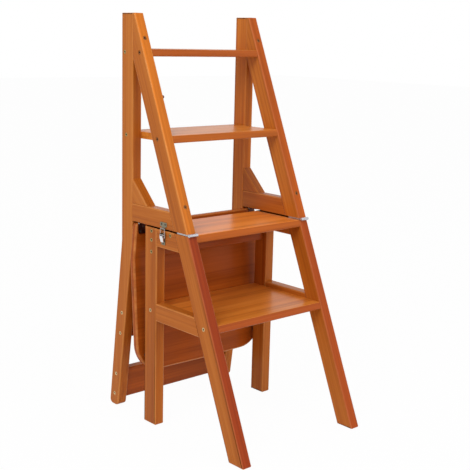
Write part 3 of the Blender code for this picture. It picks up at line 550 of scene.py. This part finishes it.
# depth and height of each screw in the outer face of a side member
screwPlaces = {
    "lower_leg": [(legMiddle, step1)]
                 + [(legMiddle - screw["legShift"], height) for height in (
                     step2, apronMiddle + screw["apronSpacing"] / 2,
                     apronMiddle - screw["apronSpacing"] / 2)],
    "lower_top_rail": [(screw["railPlace"], step2)],
    "lower_stile": [stileScrew(step1, screw["step1Share"])],
    "post": [(chair["postRear"] - screw["step4Inset"], step4),
             (chair["postRear"] - screw["step3Inset"], step3),
             *railScrews(chair["backMid"], screw["midShift"]),
             *railScrews(chair["crest"], 0.0)],
    "upper_stile": [stileScrew(step4, screw["step4Share"]),
                    stileScrew(step3, screw["step3Share"])],
}


def sideScrew(side, place, height):
    return (side * chair["halfWidth"], place + depthShift, height), (float(side), 0.0, 0.0)


def frontScrew(side, height):
    return ((side * sideMiddle, stileFront(height) + depthShift, height),
            (0.0, -math.cos(stileLean), math.sin(stileLean)))


def screwHole(centre, outward):
    room = screw["room"]
    return (centre, outward, screw["head"] + room, screw["shank"] + room, screw["rim"],
            screw["cone"], screw["depth"])


# how much of the painted shade on faces towards -Y, with its stained tone, each member takes
memberStainShades = {"lower_leg": 0.15, "post": 0.15, "gusset": 0.0}


def sideMember(side, name, seed, direction, corners, eases, radii):
    points, ease = filletOutline(corners, radii, eases)
    low, high = sorted((side * inner, side * chair["halfWidth"]))
    label = name + dict(sides)[side]
    holes = [screwHole(*sideScrew(side, *place)) for place in screwPlaces.get(name, ())]
    if name == "upper_stile":
        holes += [screwHole(*frontScrew(side, height)) for height in screw["fronts"]]
    mesh = blockSurface(label + "_timber", points, ease, low, high, chair["arris"], sidePlace,
                        holes=holes, isJoint=1.0, stain=memberStainShades.get(name, 1.0))
    finish = timberFinish(label + "_finish", direction, seed + (side > 0),
                          tinted(timberTones, label))
    body = "lower_half" if name.startswith("lower") else "upper_half"
    return addPiece(label + "_timber", mesh, body, finish, (label,))


def board(name, corners, body, slotName, seed, radius=chair["arris"]):
    points, ease = filletOutline(corners, radius, [chair["ease"]] * len(corners))
    mesh = blockSurface(name + "_timber", points, ease, -inner, inner, chair["ease"],
                        sidePlace, steps=2)
    tones = stepLitTones if slotName == "step_timber" else timberTones
    finish = timberFinish(name + "_finish", (1.0, 0.0, 0.0), seed, tinted(tones, name))
    return addPiece(name + "_timber", mesh, body, finish, (name,))


def stepCorners(top, rear):
    bottom = top - chair["step"]
    return [(stileFront(bottom) + chair["stepInset"], bottom), (rear, bottom), (rear, top),
            (stileFront(top) + chair["stepInset"], top)]


def backRailCorners(height):
    reach = chair["backRailHeight"] / 2
    lean = Vector((postMiddle(height + reach) - postMiddle(height - reach), 2 * reach))
    lean.normalize()
    across = Vector((lean.y, -lean.x))
    centre = Vector((postMiddle(height), height))
    return [tuple(centre + across * (a * chair["backRail"] / 2) + lean * (b * reach))
            for a, b in rectangle(-1, 1, -1, 1)]


def stileRear(height):
    return stileFront(height) + stileDepth


def railCorners(bottom, end):
    top = bottom + chair["rail"]
    return [(stileRear(bottom), bottom), (end, bottom), (end, top), (stileRear(top), top)]


def makeTimber():
    full, slight = chair["arris"], chair["ease"]
    upright, level = (0.0, 0.0, 1.0), (0.0, 1.0, 0.0)
    sloping = (0.0, math.sin(stileLean), math.cos(stileLean))
    legRear, postRear, height = chair["legRear"], chair["postRear"], chair["height"]
    foot, railTop = chair["postFootHeight"], upperBottom + chair["rail"]
    tip, stileTip, postTip = (chair[key] for key in ("footRound", "stileFootRound",
                                                     "postFootRound"))
    meeting = chair["foldHeight"] + (postFront - stileDepth) / stileSlope
    # name, seed, grain, outline, arris of each edge, rounded corners
    members = [
        ("lower_leg", 11, upright, rectangle(legFront, legRear, 0.0, lowerTop), [full] * 4,
         {0: tip, 1: tip}),
        ("lower_stile", 21, sloping,
         [(stileFront(0.0), 0.0), (stileRear(0.0), 0.0), (stileRear(lowerTop), lowerTop),
          (stileFront(lowerTop), lowerTop)],
         [full, full, slight, full], {0: stileTip, 1: stileTip}),
        ("lower_top_rail", 31, level, railCorners(lowerTop - chair["rail"], legFront),
         [full, slight, full, slight], {}),
        ("lower_mid_rail", 41, level, railCorners(step1Top - chair["midRailDrop"], legFront),
         [full, slight, full, slight], {}),
        ("post", 51, upright,
         [(postFootFront, foot), (postFootRear, foot), (postRear, kinkRear),
          (postRear, height), (postFront, height), (postFront, kinkFront)],
         [full] * 6, {0: postTip, 1: postTip, 3: tip, 4: tip}),
        ("upper_stile", 61, sloping,
         [(stileFront(upperBottom), upperBottom), (stileRear(upperBottom), upperBottom),
          (postFront, meeting), (postFront, height), (stileFront(height), height)],
         [slight, full, slight, slight, full], {}),
        ("seat_rail", 71, level, railCorners(upperBottom, postFront),
         [slight, slight, full, slight], {}),
        ("gusset", 81, (0.0, 1.0, 1.0),
         [(postFront - chair["gusset"], railTop), (postFront, railTop),
          (postFront, railTop + chair["gusset"])], [slight, slight, full], {}),
    ]
    for side, _ in sides:
        for member in members:
            sideMember(side, *member)
    for number, (top, rear, body) in enumerate((
            (step1Top, legRear, "lower_half"), (step2Top, legRear, "lower_half"),
            (step3Top, postRear, "upper_half"), (step4Top, postRear, "upper_half")), 1):
        board(f"step_{number}", stepCorners(top, rear), body, "step_timber", 90 + number)
    half, reach = chair["apron"] / 2, chair["apronHeight"] / 2
    board("rear_apron", rectangle(legMiddle - half, legMiddle + half, apronMiddle - reach,
                                  apronMiddle + reach),
          "lower_half", "frame_timber", 95, {0: full, 1: full})
    board("back_mid_rail", backRailCorners(chair["backMid"]), "upper_half", "frame_timber", 96)
    board("crest_rail", backRailCorners(chair["crest"]), "upper_half", "frame_timber", 97)


makeTimber()
print("timber made")

seat = {
    "width": 0.378, "hingeWidth": 0.356, "length": 0.342, "thickness": 0.015,
    "taper": 0.080, "cornerRadius": 0.066, "rearRadius": 0.010, "bow": 0.003,
    "overhang": 0.001, "hang": 86.0, "arris": 0.004,
}


def makeSeat():
    half, hingeHalf = seat["width"] / 2, seat["hingeWidth"] / 2
    front, side = -seat["length"], -seat["length"] + seat["bow"]
    corners = [(0.0, front), (half, side), (half, -seat["taper"]), (hingeHalf, seat["overhang"]),
               (-hingeHalf, seat["overhang"]), (-half, -seat["taper"]), (-half, side)]
    wide, tight = seat["cornerRadius"], seat["rearRadius"]
    radii = {1: wide, 2: wide, 3: tight, 4: tight, 5: wide, 6: wide}
    points, ease = filletOutline(corners, radii, [seat["arris"]] * len(corners), steps=10)
    place = np.array(Matrix.Translation(seatHinge)
                     @ Matrix.Rotation(math.radians(seat["hang"]), 4, "X"))
    under = -chair["seatLift"] / 2
    mesh = blockSurface("seat_board_timber", points, ease, under - seat["thickness"], under,
                        seat["arris"], place, steps=6, edgeStain=1.0)
    finish = timberFinish("seat_board_finish", (1.0, 0.0, 0.0), 101)
    addPiece("seat_board_timber", mesh, "seat", finish, ("seat_board",))


makeSeat()
print("seat made")

# colour and roughness of each metal, and colour of each rubber. Some finishes are darker copies
# that paint shade: the nickel of hinge barrels and lever cheeks, the steel of latch plates, the
# brown steel of seat hinges and socket walls, and the black of screw sockets
metals = {
    "brass": ((0.66, 0.48, 0.25), 0.30), "old_brass": ((0.42, 0.30, 0.12), 0.36),
    "bronze": ((0.27, 0.105, 0.035), 0.42), "shaded_nickel": ((0.60, 0.585, 0.62), 0.22),
    "chrome": ((0.82, 0.81, 0.81), 0.14), "shaded_steel": ((0.25, 0.225, 0.155), 0.32),
    "leaf_steel": ((0.64, 0.60, 0.60), 0.26), "wire_steel": ((0.64, 0.55, 0.52), 0.24),
    "brown_shaded_steel": ((0.090, 0.032, 0.026), 0.45), "pit_shade": ((0.030, 0.020, 0.012), 0.6),
    "dark_steel": ((0.10, 0.085, 0.07), 0.40),
}
rubbers = {"dark_rubber": (0.075, 0.022, 0.020), "stud_rubber": (0.150, 0.026, 0.024)}
finishes = {name: metalFinish(name, *look) for name, look in metals.items()}
finishes.update({name: rubberFinish(name, colour) for name, colour in rubbers.items()})


def addMetal(name, parts, body, finish, replaced=()):
    points, faces = joinParts(parts)
    mesh = meshFrom(name, points, faces)
    return addPiece(name, mesh, body, finishes[finish], replaced, sharp=35.0)


def screwParts(centre, outward, scale=1.0, spin=0.0, sunk=screw["sunk"],
               cone=screw["cone"]):
    # a countersunk head with a hexagon socket: cone, rim, slightly domed face, socket wall
    head, shank = screw["head"] * scale, screw["shank"] * scale
    socket, deep = screw["socket"] * scale, screw["socketDepth"] * scale
    top, soft = -sunk, head * screw["soft"]
    face = [(shank, top - cone, 0.0), (head - soft, top - head * screw["rimLow"], 0.0),
            (head, top - head * screw["rimHigh"], 0.0), (head, top - soft, 0.0),
            (head - soft, top - soft * 0.2, 0.0), (head - 3 * soft, top, 0.0),
            (socket + soft, top, 1.0), (socket, top - soft, 1.0)]
    cup = [(socket, top - soft, 1.0), (socket, top - deep, 1.0),
           (socket * 0.5, top - deep * 1.1, 1.0)]
    count = 24
    points, faces = turnedParts(face, centre, outward, count, spin, closed=False)
    faces.append(list(range(count))[::-1])
    cupPoints, cupFaces = turnedParts(cup, centre, outward, count, spin, closed=False)
    cupFaces.append(list(range((len(cup) - 1) * count, len(cup) * count)))
    return (points, faces), (cupPoints, cupFaces)


def screwKind(name, height):
    if name.startswith("lower"):
        return "top_screws" if height > apronMiddle - 0.03 else "lower_screws"
    if name != "post":
        return "stile_screws"
    return "post_screws" if height < chair["foldHeight"] else "upper_screws"


# metal of the heads and of the sockets of each kind, and the body that they ride on. The
# sockets' dark metal is painted shade in the recess
screwLooks = {
    "lower_screws": ("brass", "pit_shade", "lower_half"),
    "top_screws": ("old_brass", "pit_shade", "lower_half"),
    "post_screws": ("brass", "pit_shade", "upper_half"),
    "upper_screws": ("old_brass", "pit_shade", "upper_half"),
    "stile_screws": ("bronze", "brown_shaded_steel", "upper_half"),
}


def makeScrews():
    rng = np.random.default_rng(7)
    groups = {}
    for side, label in sides:
        for name, places in screwPlaces.items():
            for place, height in places:
                key = (screwKind(name, height), label)
                groups.setdefault(key, []).append(sideScrew(side, place, height))
        for height in screw["fronts"]:
            groups.setdefault(("stile_screws", label), []).append(frontScrew(side, height))
    for (kind, label), places in groups.items():
        parts = [screwParts(*place, spin=rng.uniform(0, 1)) for place in places]
        headMetal, socketMetal, body = screwLooks[kind]
        addMetal(kind + label, [head for head, cup in parts], body, headMetal)
        addMetal(kind.replace("screws", "sockets") + label, [cup for head, cup in parts], body,
                 socketMetal)


makeScrews()


def sheetParts(corners, radii, low, high, turn, ease, holes=(), steps=3):
    points, eases = filletOutline(corners, radii, [ease] * len(corners), steps=6)
    grid, faces, _ = blockParts(points, eases, low, high, ease, turn, steps)
    return boreHoles(grid, faces, holes, count=20)


def plateScrew(centre, outward, scale, sheet, spin, sunk):
    # the countersunk hole in a sheet, and the head in it
    room = screw["plateRoom"]
    hole = (centre, outward, screw["head"] * scale + room, screw["shank"] * scale, room,
            sheet * screw["plateCone"], sheet * screw["plateDepth"])
    return hole, screwParts(centre, outward, scale, spin, sunk, sheet * screw["plateHead"])


def mirrored(profile, middle=0.0):
    # a profile and its mirror image about a height
    return profile + [(radius, 2 * middle - height, share)
                      for radius, height, share in reversed(profile)]


hinges = {
    "fold": {"width": 0.0225, "length": 0.041, "far": 0.0015, "radius": 0.0035},
    "seat": {"width": 0.018, "length": 0.024, "far": 0.00285, "radius": 0.00285},
    "leaf": 0.0013, "pin": 0.0013, "fit": 0.0003, "corner": 0.0025, "ease": 0.00018,
    "screwScale": 0.55, "screwSunk": 0.00008, "rimSoft": 0.3,
    "pinTip": [(0.55, 0.0), (0.9, 0.0002), (1.0, 0.0005)],
    "foldScrews": [(-0.0055, 0.012), (0.0055, 0.020), (-0.0055, 0.0335)],
    "seatScrews": [(-0.0045, 0.0085), (0.0045, 0.0185)],
}


def tubeRing(low, high, bore, outer):
    # a short pipe along X with eased rims
    ease = hinges["ease"]
    soft = ease * hinges["rimSoft"]
    rim = [(bore, low + ease, 0.0), (bore + ease, low, 0.0), (outer - ease, low, 0.0),
           (outer - soft, low + soft, 0.0), (outer, low + ease, 0.0)]
    profile = mirrored(rim, (low + high) / 2) + rim[:1]
    return turnedParts(profile, (0, 0, 0), (1, 0, 0), count=40, closed=False)


def leafParts(kind, ownsMiddle, flip):
    # the leaf runs along +Y from the pin's axis; flip turns it below the axis
    size, fit, ease = hinges[kind], hinges["fit"], hinges["ease"]
    half, third = size["width"] / 2, size["width"] / 6
    sign = -1.0 if flip else 1.0
    if ownsMiddle:
        knuckles = [(-third + fit / 2, third - fit / 2)]
    else:
        knuckles = [(-half, -third - fit / 2), (third + fit / 2, half)]
    bore = hinges["pin"] + fit
    barrel = [tubeRing(low, high, bore, size["radius"]) for low, high in knuckles]
    level = sign * (size["far"] - hinges["leaf"])
    low, high = sorted((level, sign * size["far"]))
    gap, corner = size["radius"] + fit, hinges["corner"]
    holes, heads = [], []
    for x, y in hinges[kind + "Screws"]:
        hole, head = plateScrew((x, y, level), (0.0, 0.0, -sign), hinges["screwScale"],
                                hinges["leaf"], x * 40 + y * 70, hinges["screwSunk"])
        holes.append(hole)
        heads += head
    parts = [sheetParts(rectangle(-half, half, gap, size["length"]), {2: corner, 3: corner},
                        low, high, np.eye(4), ease, holes, 2)]
    for a, b in knuckles:
        tab, eases = filletOutline(rectangle(a, b, bore, gap + ease), {}, [0.0] * 4)
        parts.append(blockParts(tab, eases, low, high, ease * 0.01, np.eye(4), steps=1)[:2])
    return barrel, parts, heads


def pinParts(kind):
    half = hinges[kind]["width"] / 2 + hinges["fit"]
    tip = [(hinges["pin"] * share, -half + rise, 0.0) for share, rise in hinges["pinTip"]]
    return [turnedParts(mirrored(tip), (0, 0, 0), (1, 0, 0))]


def makeHinges():
    for side, label in sides:
        fold = np.eye(4)
        fold[:3, 3] = (side * sideMiddle, chair["foldPlace"] + depthShift, chair["foldHeight"])
        turned = Matrix.Translation((side * sideMiddle, seatHinge.y, seatHinge.z))
        forward = Matrix.Rotation(math.pi, 4, "Z")
        hang = Matrix.Rotation(math.radians(seat["hang"]), 4, "X")
        fixed, moving = turned @ forward, turned @ hang @ forward
        # the seat hinges' dark brown steel is painted shade under the seat rail
        for name, body, ownsMiddle, place in (
                ("fold_hinge_lower_leaf", "lower_half", False, fold),
                ("fold_hinge_upper_leaf", "upper_half", True, fold),
                ("seat_hinge_rail_leaf", "upper_half", True, fixed),
                ("seat_hinge_seat_leaf", "seat", False, moving)):
            kind, node = name[:4], name + label
            # the fold hinge's barrels take a darker copy of the chrome: painted shade
            plateMetal, barrelMetal = {"fold": ("leaf_steel", "shaded_nickel"),
                                       "seat": ("brown_shaded_steel", "brown_shaded_steel")}[kind]
            barrel, plates, heads = (moved(parts, place) for parts in
                                     leafParts(kind, ownsMiddle, not ownsMiddle))
            addMetal(node + "_plate", plates, body, plateMetal, (node,))
            addMetal(node + "_barrel", barrel, body, barrelMetal)
            addMetal(node + "_screws", heads, body, "dark_steel")
        for kind, body, place in (("fold", "lower_half", fold), ("seat", "upper_half", fixed)):
            node = kind + "_hinge_pin" + label
            addMetal(node + "_rod", moved(pinParts(kind), place), body, "chrome",
                     (node,))


makeHinges()
print("hinges made")


latch = {
    "place": 0.079, "fit": 0.0003, "sheet": 0.001, "ease": 0.0003,
    "baseHalf": 0.00625, "baseBottom": 0.4175, "baseTop": 0.4435, "baseScrew": 0.4210,
    "earHalf": 0.006, "earOut": 0.0068, "earReach": 0.00375, "earRound": 0.0025,
    "pivotOut": 0.0049, "pivotUp": 0.4395, "pin": 0.0008,
    "leverHalf": 0.0048, "leverOut": 0.0080, "leverBottom": 0.4238, "leverLip": 0.0014,
    "leverToe": 0.0046, "webHalf": 0.0054, "webNeck": 0.0047, "webTop": 0.4378,
    "eye": 0.0020, "eyeSmall": 0.0016,
    "bailOut": 0.0033, "bailUp": 0.4335, "wire": 0.0007, "bailHalf": 0.0071,
    "barOut": 0.0038, "barUp": 0.4536, "bailCorner": 0.0022,
    "keeperHalf": 0.0112, "keeperTop": 0.4666, "hookLow": 0.4515, "hookOut": 0.006,
    "hookHalf": 0.006, "shoulder": 0.0045, "keeperScrewUp": 0.4622,
    "keeperScrewAcross": 0.0060, "screwScale": 0.56, "screwSunk": 0.00005,
    "baseRound": 0.0016, "hookRound": 0.0012, "shoulderRound": 0.0016, "keeperRound": 0.0020,
    "webRound": 0.0012, "smallRound": 0.0008, "webToe": 0.86, "webWide": 0.66,
    "webNeckFrom": 0.76, "webStand": 0.00005, "wireBend": 1.3,
    "rivetEnd": [(0.0006, 0.0002), (0.0012, 0.00012), (0.0014, 0.0)],
}
# like facing, for outlines drawn outwards and upwards whose thickness lies along Y
beside = np.array([[1.0, 0, 0, 0], [0, 0, -1, 0], [0, 1, 0, 0], [0, 0, 0, 1]])


def tubeParts(path, radius, count=14):
    # rings square to the path; each ring's first axis is the last one's, laid flat again
    path = np.asarray(path, float)
    along = np.gradient(path, axis=0)
    along /= np.linalg.norm(along, axis=1)[:, None]
    first = acrossAxes(along[0])[0]
    angle = np.arange(count)[:, None] * 2 * math.pi / count
    points = []
    for place, ahead in zip(path, along):
        first = first - ahead * (first @ ahead)
        first /= np.linalg.norm(first)
        points.append(place + radius * (np.cos(angle) * first
                                        + np.sin(angle) * np.cross(ahead, first)))
    return np.concatenate(points), ringFaces(len(path), count)


def latchScrew(across, up):
    # in the outer face of a plate on the side frame
    return plateScrew((latch["fit"] + latch["sheet"], across, up), (1.0, 0.0, 0.0),
                      latch["screwScale"], latch["sheet"], across * 300, latch["screwSunk"])


def bothCheeks(corners, radii, half):
    # the same sheet on both sides of the latch
    sheet, parts = latch["sheet"], []
    for sign in (-1, 1):
        low, high = sorted((sign * half, sign * (half - sheet)))
        parts.append(sheetParts(corners, radii, low, high, beside, latch["ease"]))
    return parts


def bailPath():
    foot = np.array([latch["bailOut"], 0.0, latch["bailUp"]])
    head = np.array([latch["barOut"], 0.0, latch["barUp"]])
    stub = latch["leverHalf"] - latch["sheet"] + latch["fit"]
    half, unit = latch["bailHalf"], np.array([0.0, 1.0, 0.0])
    corners = [foot - unit * stub, foot - unit * half, head - unit * half, head + unit * half,
               foot + unit * half, foot + unit * stub]
    path = [corners[0]]
    for i in range(1, 5):
        cut = latch["bailCorner"] if i in (2, 3) else latch["wire"] * latch["wireBend"]
        here = corners[i]
        before = here + (corners[i - 1] - here) * cut / np.linalg.norm(corners[i - 1] - here)
        after = here + (corners[i + 1] - here) * cut / np.linalg.norm(corners[i + 1] - here)
        for t in np.linspace(0, 1, 9):
            path.append(before * (1 - t) ** 2 + here * 2 * t * (1 - t) + after * t * t)
    path.append(corners[5])
    return path


def baseParts():
    half, low, high = latch["baseHalf"], latch["baseBottom"], latch["baseTop"]
    hole, head = latchScrew(0.0, latch["baseScrew"])
    plate = sheetParts(rectangle(-half, half, low, high), latch["baseRound"], latch["fit"],
                       latch["fit"] + latch["sheet"], facing, latch["ease"], [hole])
    middle, reach, corner = latch["pivotUp"], latch["earReach"], latch["earRound"]
    ear = rectangle(latch["fit"], latch["earOut"], middle - reach, middle + reach)
    return [plate, *bothCheeks(ear, {1: corner, 2: corner}, latch["earHalf"])], head


def rivetParts():
    half = latch["earHalf"]
    end = [(radius, -half - rise, 0) for radius, rise in latch["rivetEnd"]]
    end.append((latch["pin"], -half, 0))
    return [turnedParts(mirrored(end), (latch["pivotOut"], 0.0, latch["pivotUp"]),
                        (0.0, 1.0, 0.0))]


def leverParts():
    eye, loopEye = latch["eye"], latch["eyeSmall"]
    inside, pivot = latch["bailOut"] - loopEye, latch["pivotOut"]
    bottom, outer, toe, webTop = (latch[key] for key in ("leverBottom", "leverOut",
                                                         "leverToe", "webTop"))
    top = latch["pivotUp"] + eye
    cheek = [(inside, latch["bailUp"] - loopEye), (toe - latch["leverLip"], bottom),
             (toe, bottom), (outer, webTop), (pivot + eye, top), (pivot - eye, top),
             (inside, latch["bailUp"] + loopEye)]
    cheeks = bothCheeks(cheek, {0: loopEye, 3: eye, 5: eye}, latch["leverHalf"])
    # the web leans out from its toe; it is drawn upright and turned about Y at its toe
    wide, rise = latch["webHalf"], math.hypot(outer - toe, webTop - bottom)
    lean = (Matrix.Translation((toe, 0.0, bottom))
            @ Matrix.Rotation(math.atan2(outer - toe, webTop - bottom), 4, "Y"))
    neck = latch["webNeck"]
    half = [(wide * latch["webToe"], 0.0), (wide, rise * latch["webWide"]),
            (neck, rise * latch["webNeckFrom"]), (neck, rise)]
    outline = [(-y, up) for y, up in reversed(half)] + half
    low, high = latch["smallRound"], latch["webRound"]
    web = sheetParts(outline, {0: low, 3: high, 4: high, 7: low}, -latch["sheet"],
                     latch["webStand"], facing, latch["ease"])
    return cheeks, moved([web], lean)


def keeperParts():
    sheet, fit, ease = latch["sheet"], latch["fit"], latch["ease"]
    holes, heads = [], []
    for sign in (-1, 1):
        hole, head = latchScrew(sign * latch["keeperScrewAcross"], latch["keeperScrewUp"])
        holes.append(hole)
        heads += head
    hook, low, wide, top = (latch[key] for key in ("hookHalf", "hookLow", "keeperHalf",
                                                   "keeperTop"))
    shoulder, out = low + sheet + latch["shoulder"], latch["hookOut"]
    half = [(hook, low), (hook, shoulder), (wide, shoulder), (wide, top)]
    outline = [(-hook, low)] + half + [(-y, up) for y, up in reversed(half[1:])]
    inward, middle, large = latch["smallRound"], latch["shoulderRound"], latch["keeperRound"]
    plate = sheetParts(outline, {2: inward, 3: middle, 4: large, 5: large, 6: middle,
                                 7: inward}, fit, fit + sheet, facing, ease, holes)
    bend = latch["hookRound"]
    ledge = sheetParts(rectangle(fit, out, -hook, hook), {1: bend, 2: bend}, low,
                       low + sheet, np.eye(4), ease)
    return [plate, ledge], heads


def makeLatches():
    base, baseHead = baseParts()
    cheeks, web = leverParts()
    keeper, keeperHeads = keeperParts()
    wire = [tubeParts(bailPath(), latch["wire"])]
    for side, label in sides:
        place = Matrix.Translation((side * chair["halfWidth"], latch["place"] + depthShift, 0))
        if side < 0:
            place = place @ Matrix.Rotation(math.pi, 4, "Z")
        lever, bail = "latch_lever" + label, "latch_bail" + label
        # the base and keeper plates take a darkened steel: painted shade
        for name, parts, body, metal, replaced in (
                ("latch_base_plate", base, "lower_half", "shaded_steel", "latch_base"),
                ("latch_base_screw", baseHead, "lower_half", "dark_steel", None),
                ("latch_pin_rivet", rivetParts(), "lower_half", "chrome", "latch_pin"),
                ("latch_lever_web", web, lever, "chrome", "latch_lever"),
                # the lever's cheeks take a darker copy of its chrome: painted shade on the sides
                # turned from the light
                ("latch_lever_cheeks", cheeks, lever, "shaded_nickel", None),
                ("latch_bail_wire", wire, bail, "wire_steel", "latch_bail"),
                ("latch_keeper_plate", keeper, "upper_half", "shaded_steel", "latch_keeper"),
                ("latch_keeper_screws", keeperHeads, "upper_half", "dark_steel", None)):
            addMetal(name + label, moved(parts, place), body, metal,
                     (replaced + label,) if replaced else ())


makeLatches()

small = {"bumper": 0.006, "bumperHalf": 0.00285, "bumperPlace": 0.300, "bumperRound": 0.001,
         "stud": 0.0034, "studLength": 0.004, "studInset": 0.005, "studHeight": 0.727,
         "studStraight": 0.55, "studDome": 0.45, "studTurn": 0.9}


def makeSmall():
    hang = Matrix.Translation(seatHinge) @ Matrix.Rotation(math.radians(seat["hang"]), 4, "X")
    radius, half, soft = small["bumper"], small["bumperHalf"], small["bumperRound"]
    turn = np.linspace(0, math.pi / 2, 7)
    profile = [(radius, -half, 0.0)] + [(radius - soft * (1 - math.cos(a)),
                                         half - soft * (1 - math.sin(a)), 0.0) for a in turn]
    for side, label in sides:
        part = turnedParts(profile, (side * sideMiddle, -small["bumperPlace"], 0.0),
                           (0.0, 0.0, 1.0), count=40)
        addMetal("seat_bumper" + label + "_pad", moved([part], hang), "seat", "dark_rubber",
                 ("seat_bumper" + label,))
    start = -inner + hinges["fit"]
    radius, long = small["stud"], small["studLength"]
    profile = [(radius, 0.0, 0.0)] + [
        (radius * math.cos(a * small["studTurn"]),
         long * (small["studStraight"] + small["studDome"] * math.sin(a)), 0.0) for a in turn]
    place = (start, stileFront(small["studHeight"]) + small["studInset"] + depthShift,
             small["studHeight"])
    part = turnedParts(profile, place, (1.0, 0.0, 0.0), count=40)
    addMetal("stop_stud_cap", [part], "upper_half", "stud_rubber",
             ("stop_stud",))


makeSmall()
print("latches and small pieces made")


stage = {"floor": 30.0, "floorColour": (0.90, 0.90, 0.90), "whiteShare": 0.97, "world": 0.50,
         "lampAim": (0.0, 0.0, 0.45)}


def seenRays(made):
    # 1 for camera, mirror and glass rays, 0 for the rays that light the object
    rays = made.add("LightPath", "Is Camera Ray").node.outputs
    result = rays["Is Camera Ray"]
    for kind in ("Is Glossy Ray", "Is Transmission Ray"):
        result = made.math("MAXIMUM", result, rays[kind])
    return result


def makeStage():
    half = stage["floor"] / 2
    corners = [(x, y, 0.0) for x, y in rectangle(-half, half, -half, half)]
    mesh = meshFrom("floor", corners, [[0, 1, 2, 3]])
    floor = bpy.data.objects.new("floor", mesh)
    bpy.context.scene.collection.objects.link(floor)
    made = NodeMaker(bpy.data.materials.new("floor_paint"))
    made.give(BaseColor=(*stage["floorColour"], 1.0), Roughness=0.9, SpecularIORLevel=0.1)
    white = made.add("Emission", "Emission")
    share = made.math("MULTIPLY", seenRays(made), stage["whiteShare"])
    blend = made.add("MixShader", "Shader", {
        "Fac": share, 1: made.shader.outputs["BSDF"], 2: white})
    made.put(blend, made.nodes["Material Output"].inputs["Surface"])
    mesh.materials.append(made.owner)
    world = bpy.data.worlds.new("studio")
    bpy.context.scene.world = world
    made = NodeMaker(world)
    strength = made.spread(seenRays(made), 0.0, 1.0, stage["world"], 1.0)
    made.give(Color=(1.0, 1.0, 1.0, 1.0), Strength=strength)


lamps = [
    {"name": "key", "from": (-2.9, -1.1, 3.0), "size": 2.2, "power": 72.0},
    {"name": "fill", "from": (0.6, -3.4, 2.0), "size": 2.6, "power": 50.0},
]


def makeLamps():
    for lamp in lamps:
        data = bpy.data.lights.new(lamp["name"], "AREA")
        data.shape = "DISK"
        data.size = lamp["size"]
        data.energy = lamp["power"]
        made = bpy.data.objects.new(lamp["name"], data)
        bpy.context.scene.collection.objects.link(made)
        made.location = lamp["from"]
        aim = Vector(stage["lampAim"]) - Vector(lamp["from"])
        made.rotation_mode = "QUATERNION"
        made.rotation_quaternion = aim.to_track_quat("-Z", "Y")


view = {"azimuth": 42.197, "pitch": 11.621, "roll": 1.451, "focus": 960.19, "image": 470,
        "sensor": 36.0, "from": (-1.40658, -1.50264 + depthShift, 0.85377)}


def makeCamera():
    az, pitch, roll = (math.radians(view[k]) for k in ("azimuth", "pitch", "roll"))
    ahead = Vector((math.sin(az) * math.cos(pitch), math.cos(az) * math.cos(pitch),
                    -math.sin(pitch)))
    right = Vector((math.cos(az), -math.sin(az), 0.0))
    up = right.cross(ahead)
    rightRolled = right * math.cos(roll) + up * math.sin(roll)
    upRolled = up * math.cos(roll) - right * math.sin(roll)
    data = bpy.data.cameras.new("photo_view")
    camera = bpy.data.objects.new("photo_view", data)
    bpy.context.scene.collection.objects.link(camera)
    data.sensor_width = view["sensor"]
    data.lens = view["focus"] / view["image"] * data.sensor_width
    turn = Matrix((rightRolled, upRolled, -ahead)).transposed().to_4x4()
    camera.matrix_world = Matrix.Translation(view["from"]) @ turn
    bpy.context.scene.camera = camera


makeStage()
makeLamps()
makeCamera()
bpy.context.scene.view_settings.view_transform = "Standard"
print("stage, light and camera made")
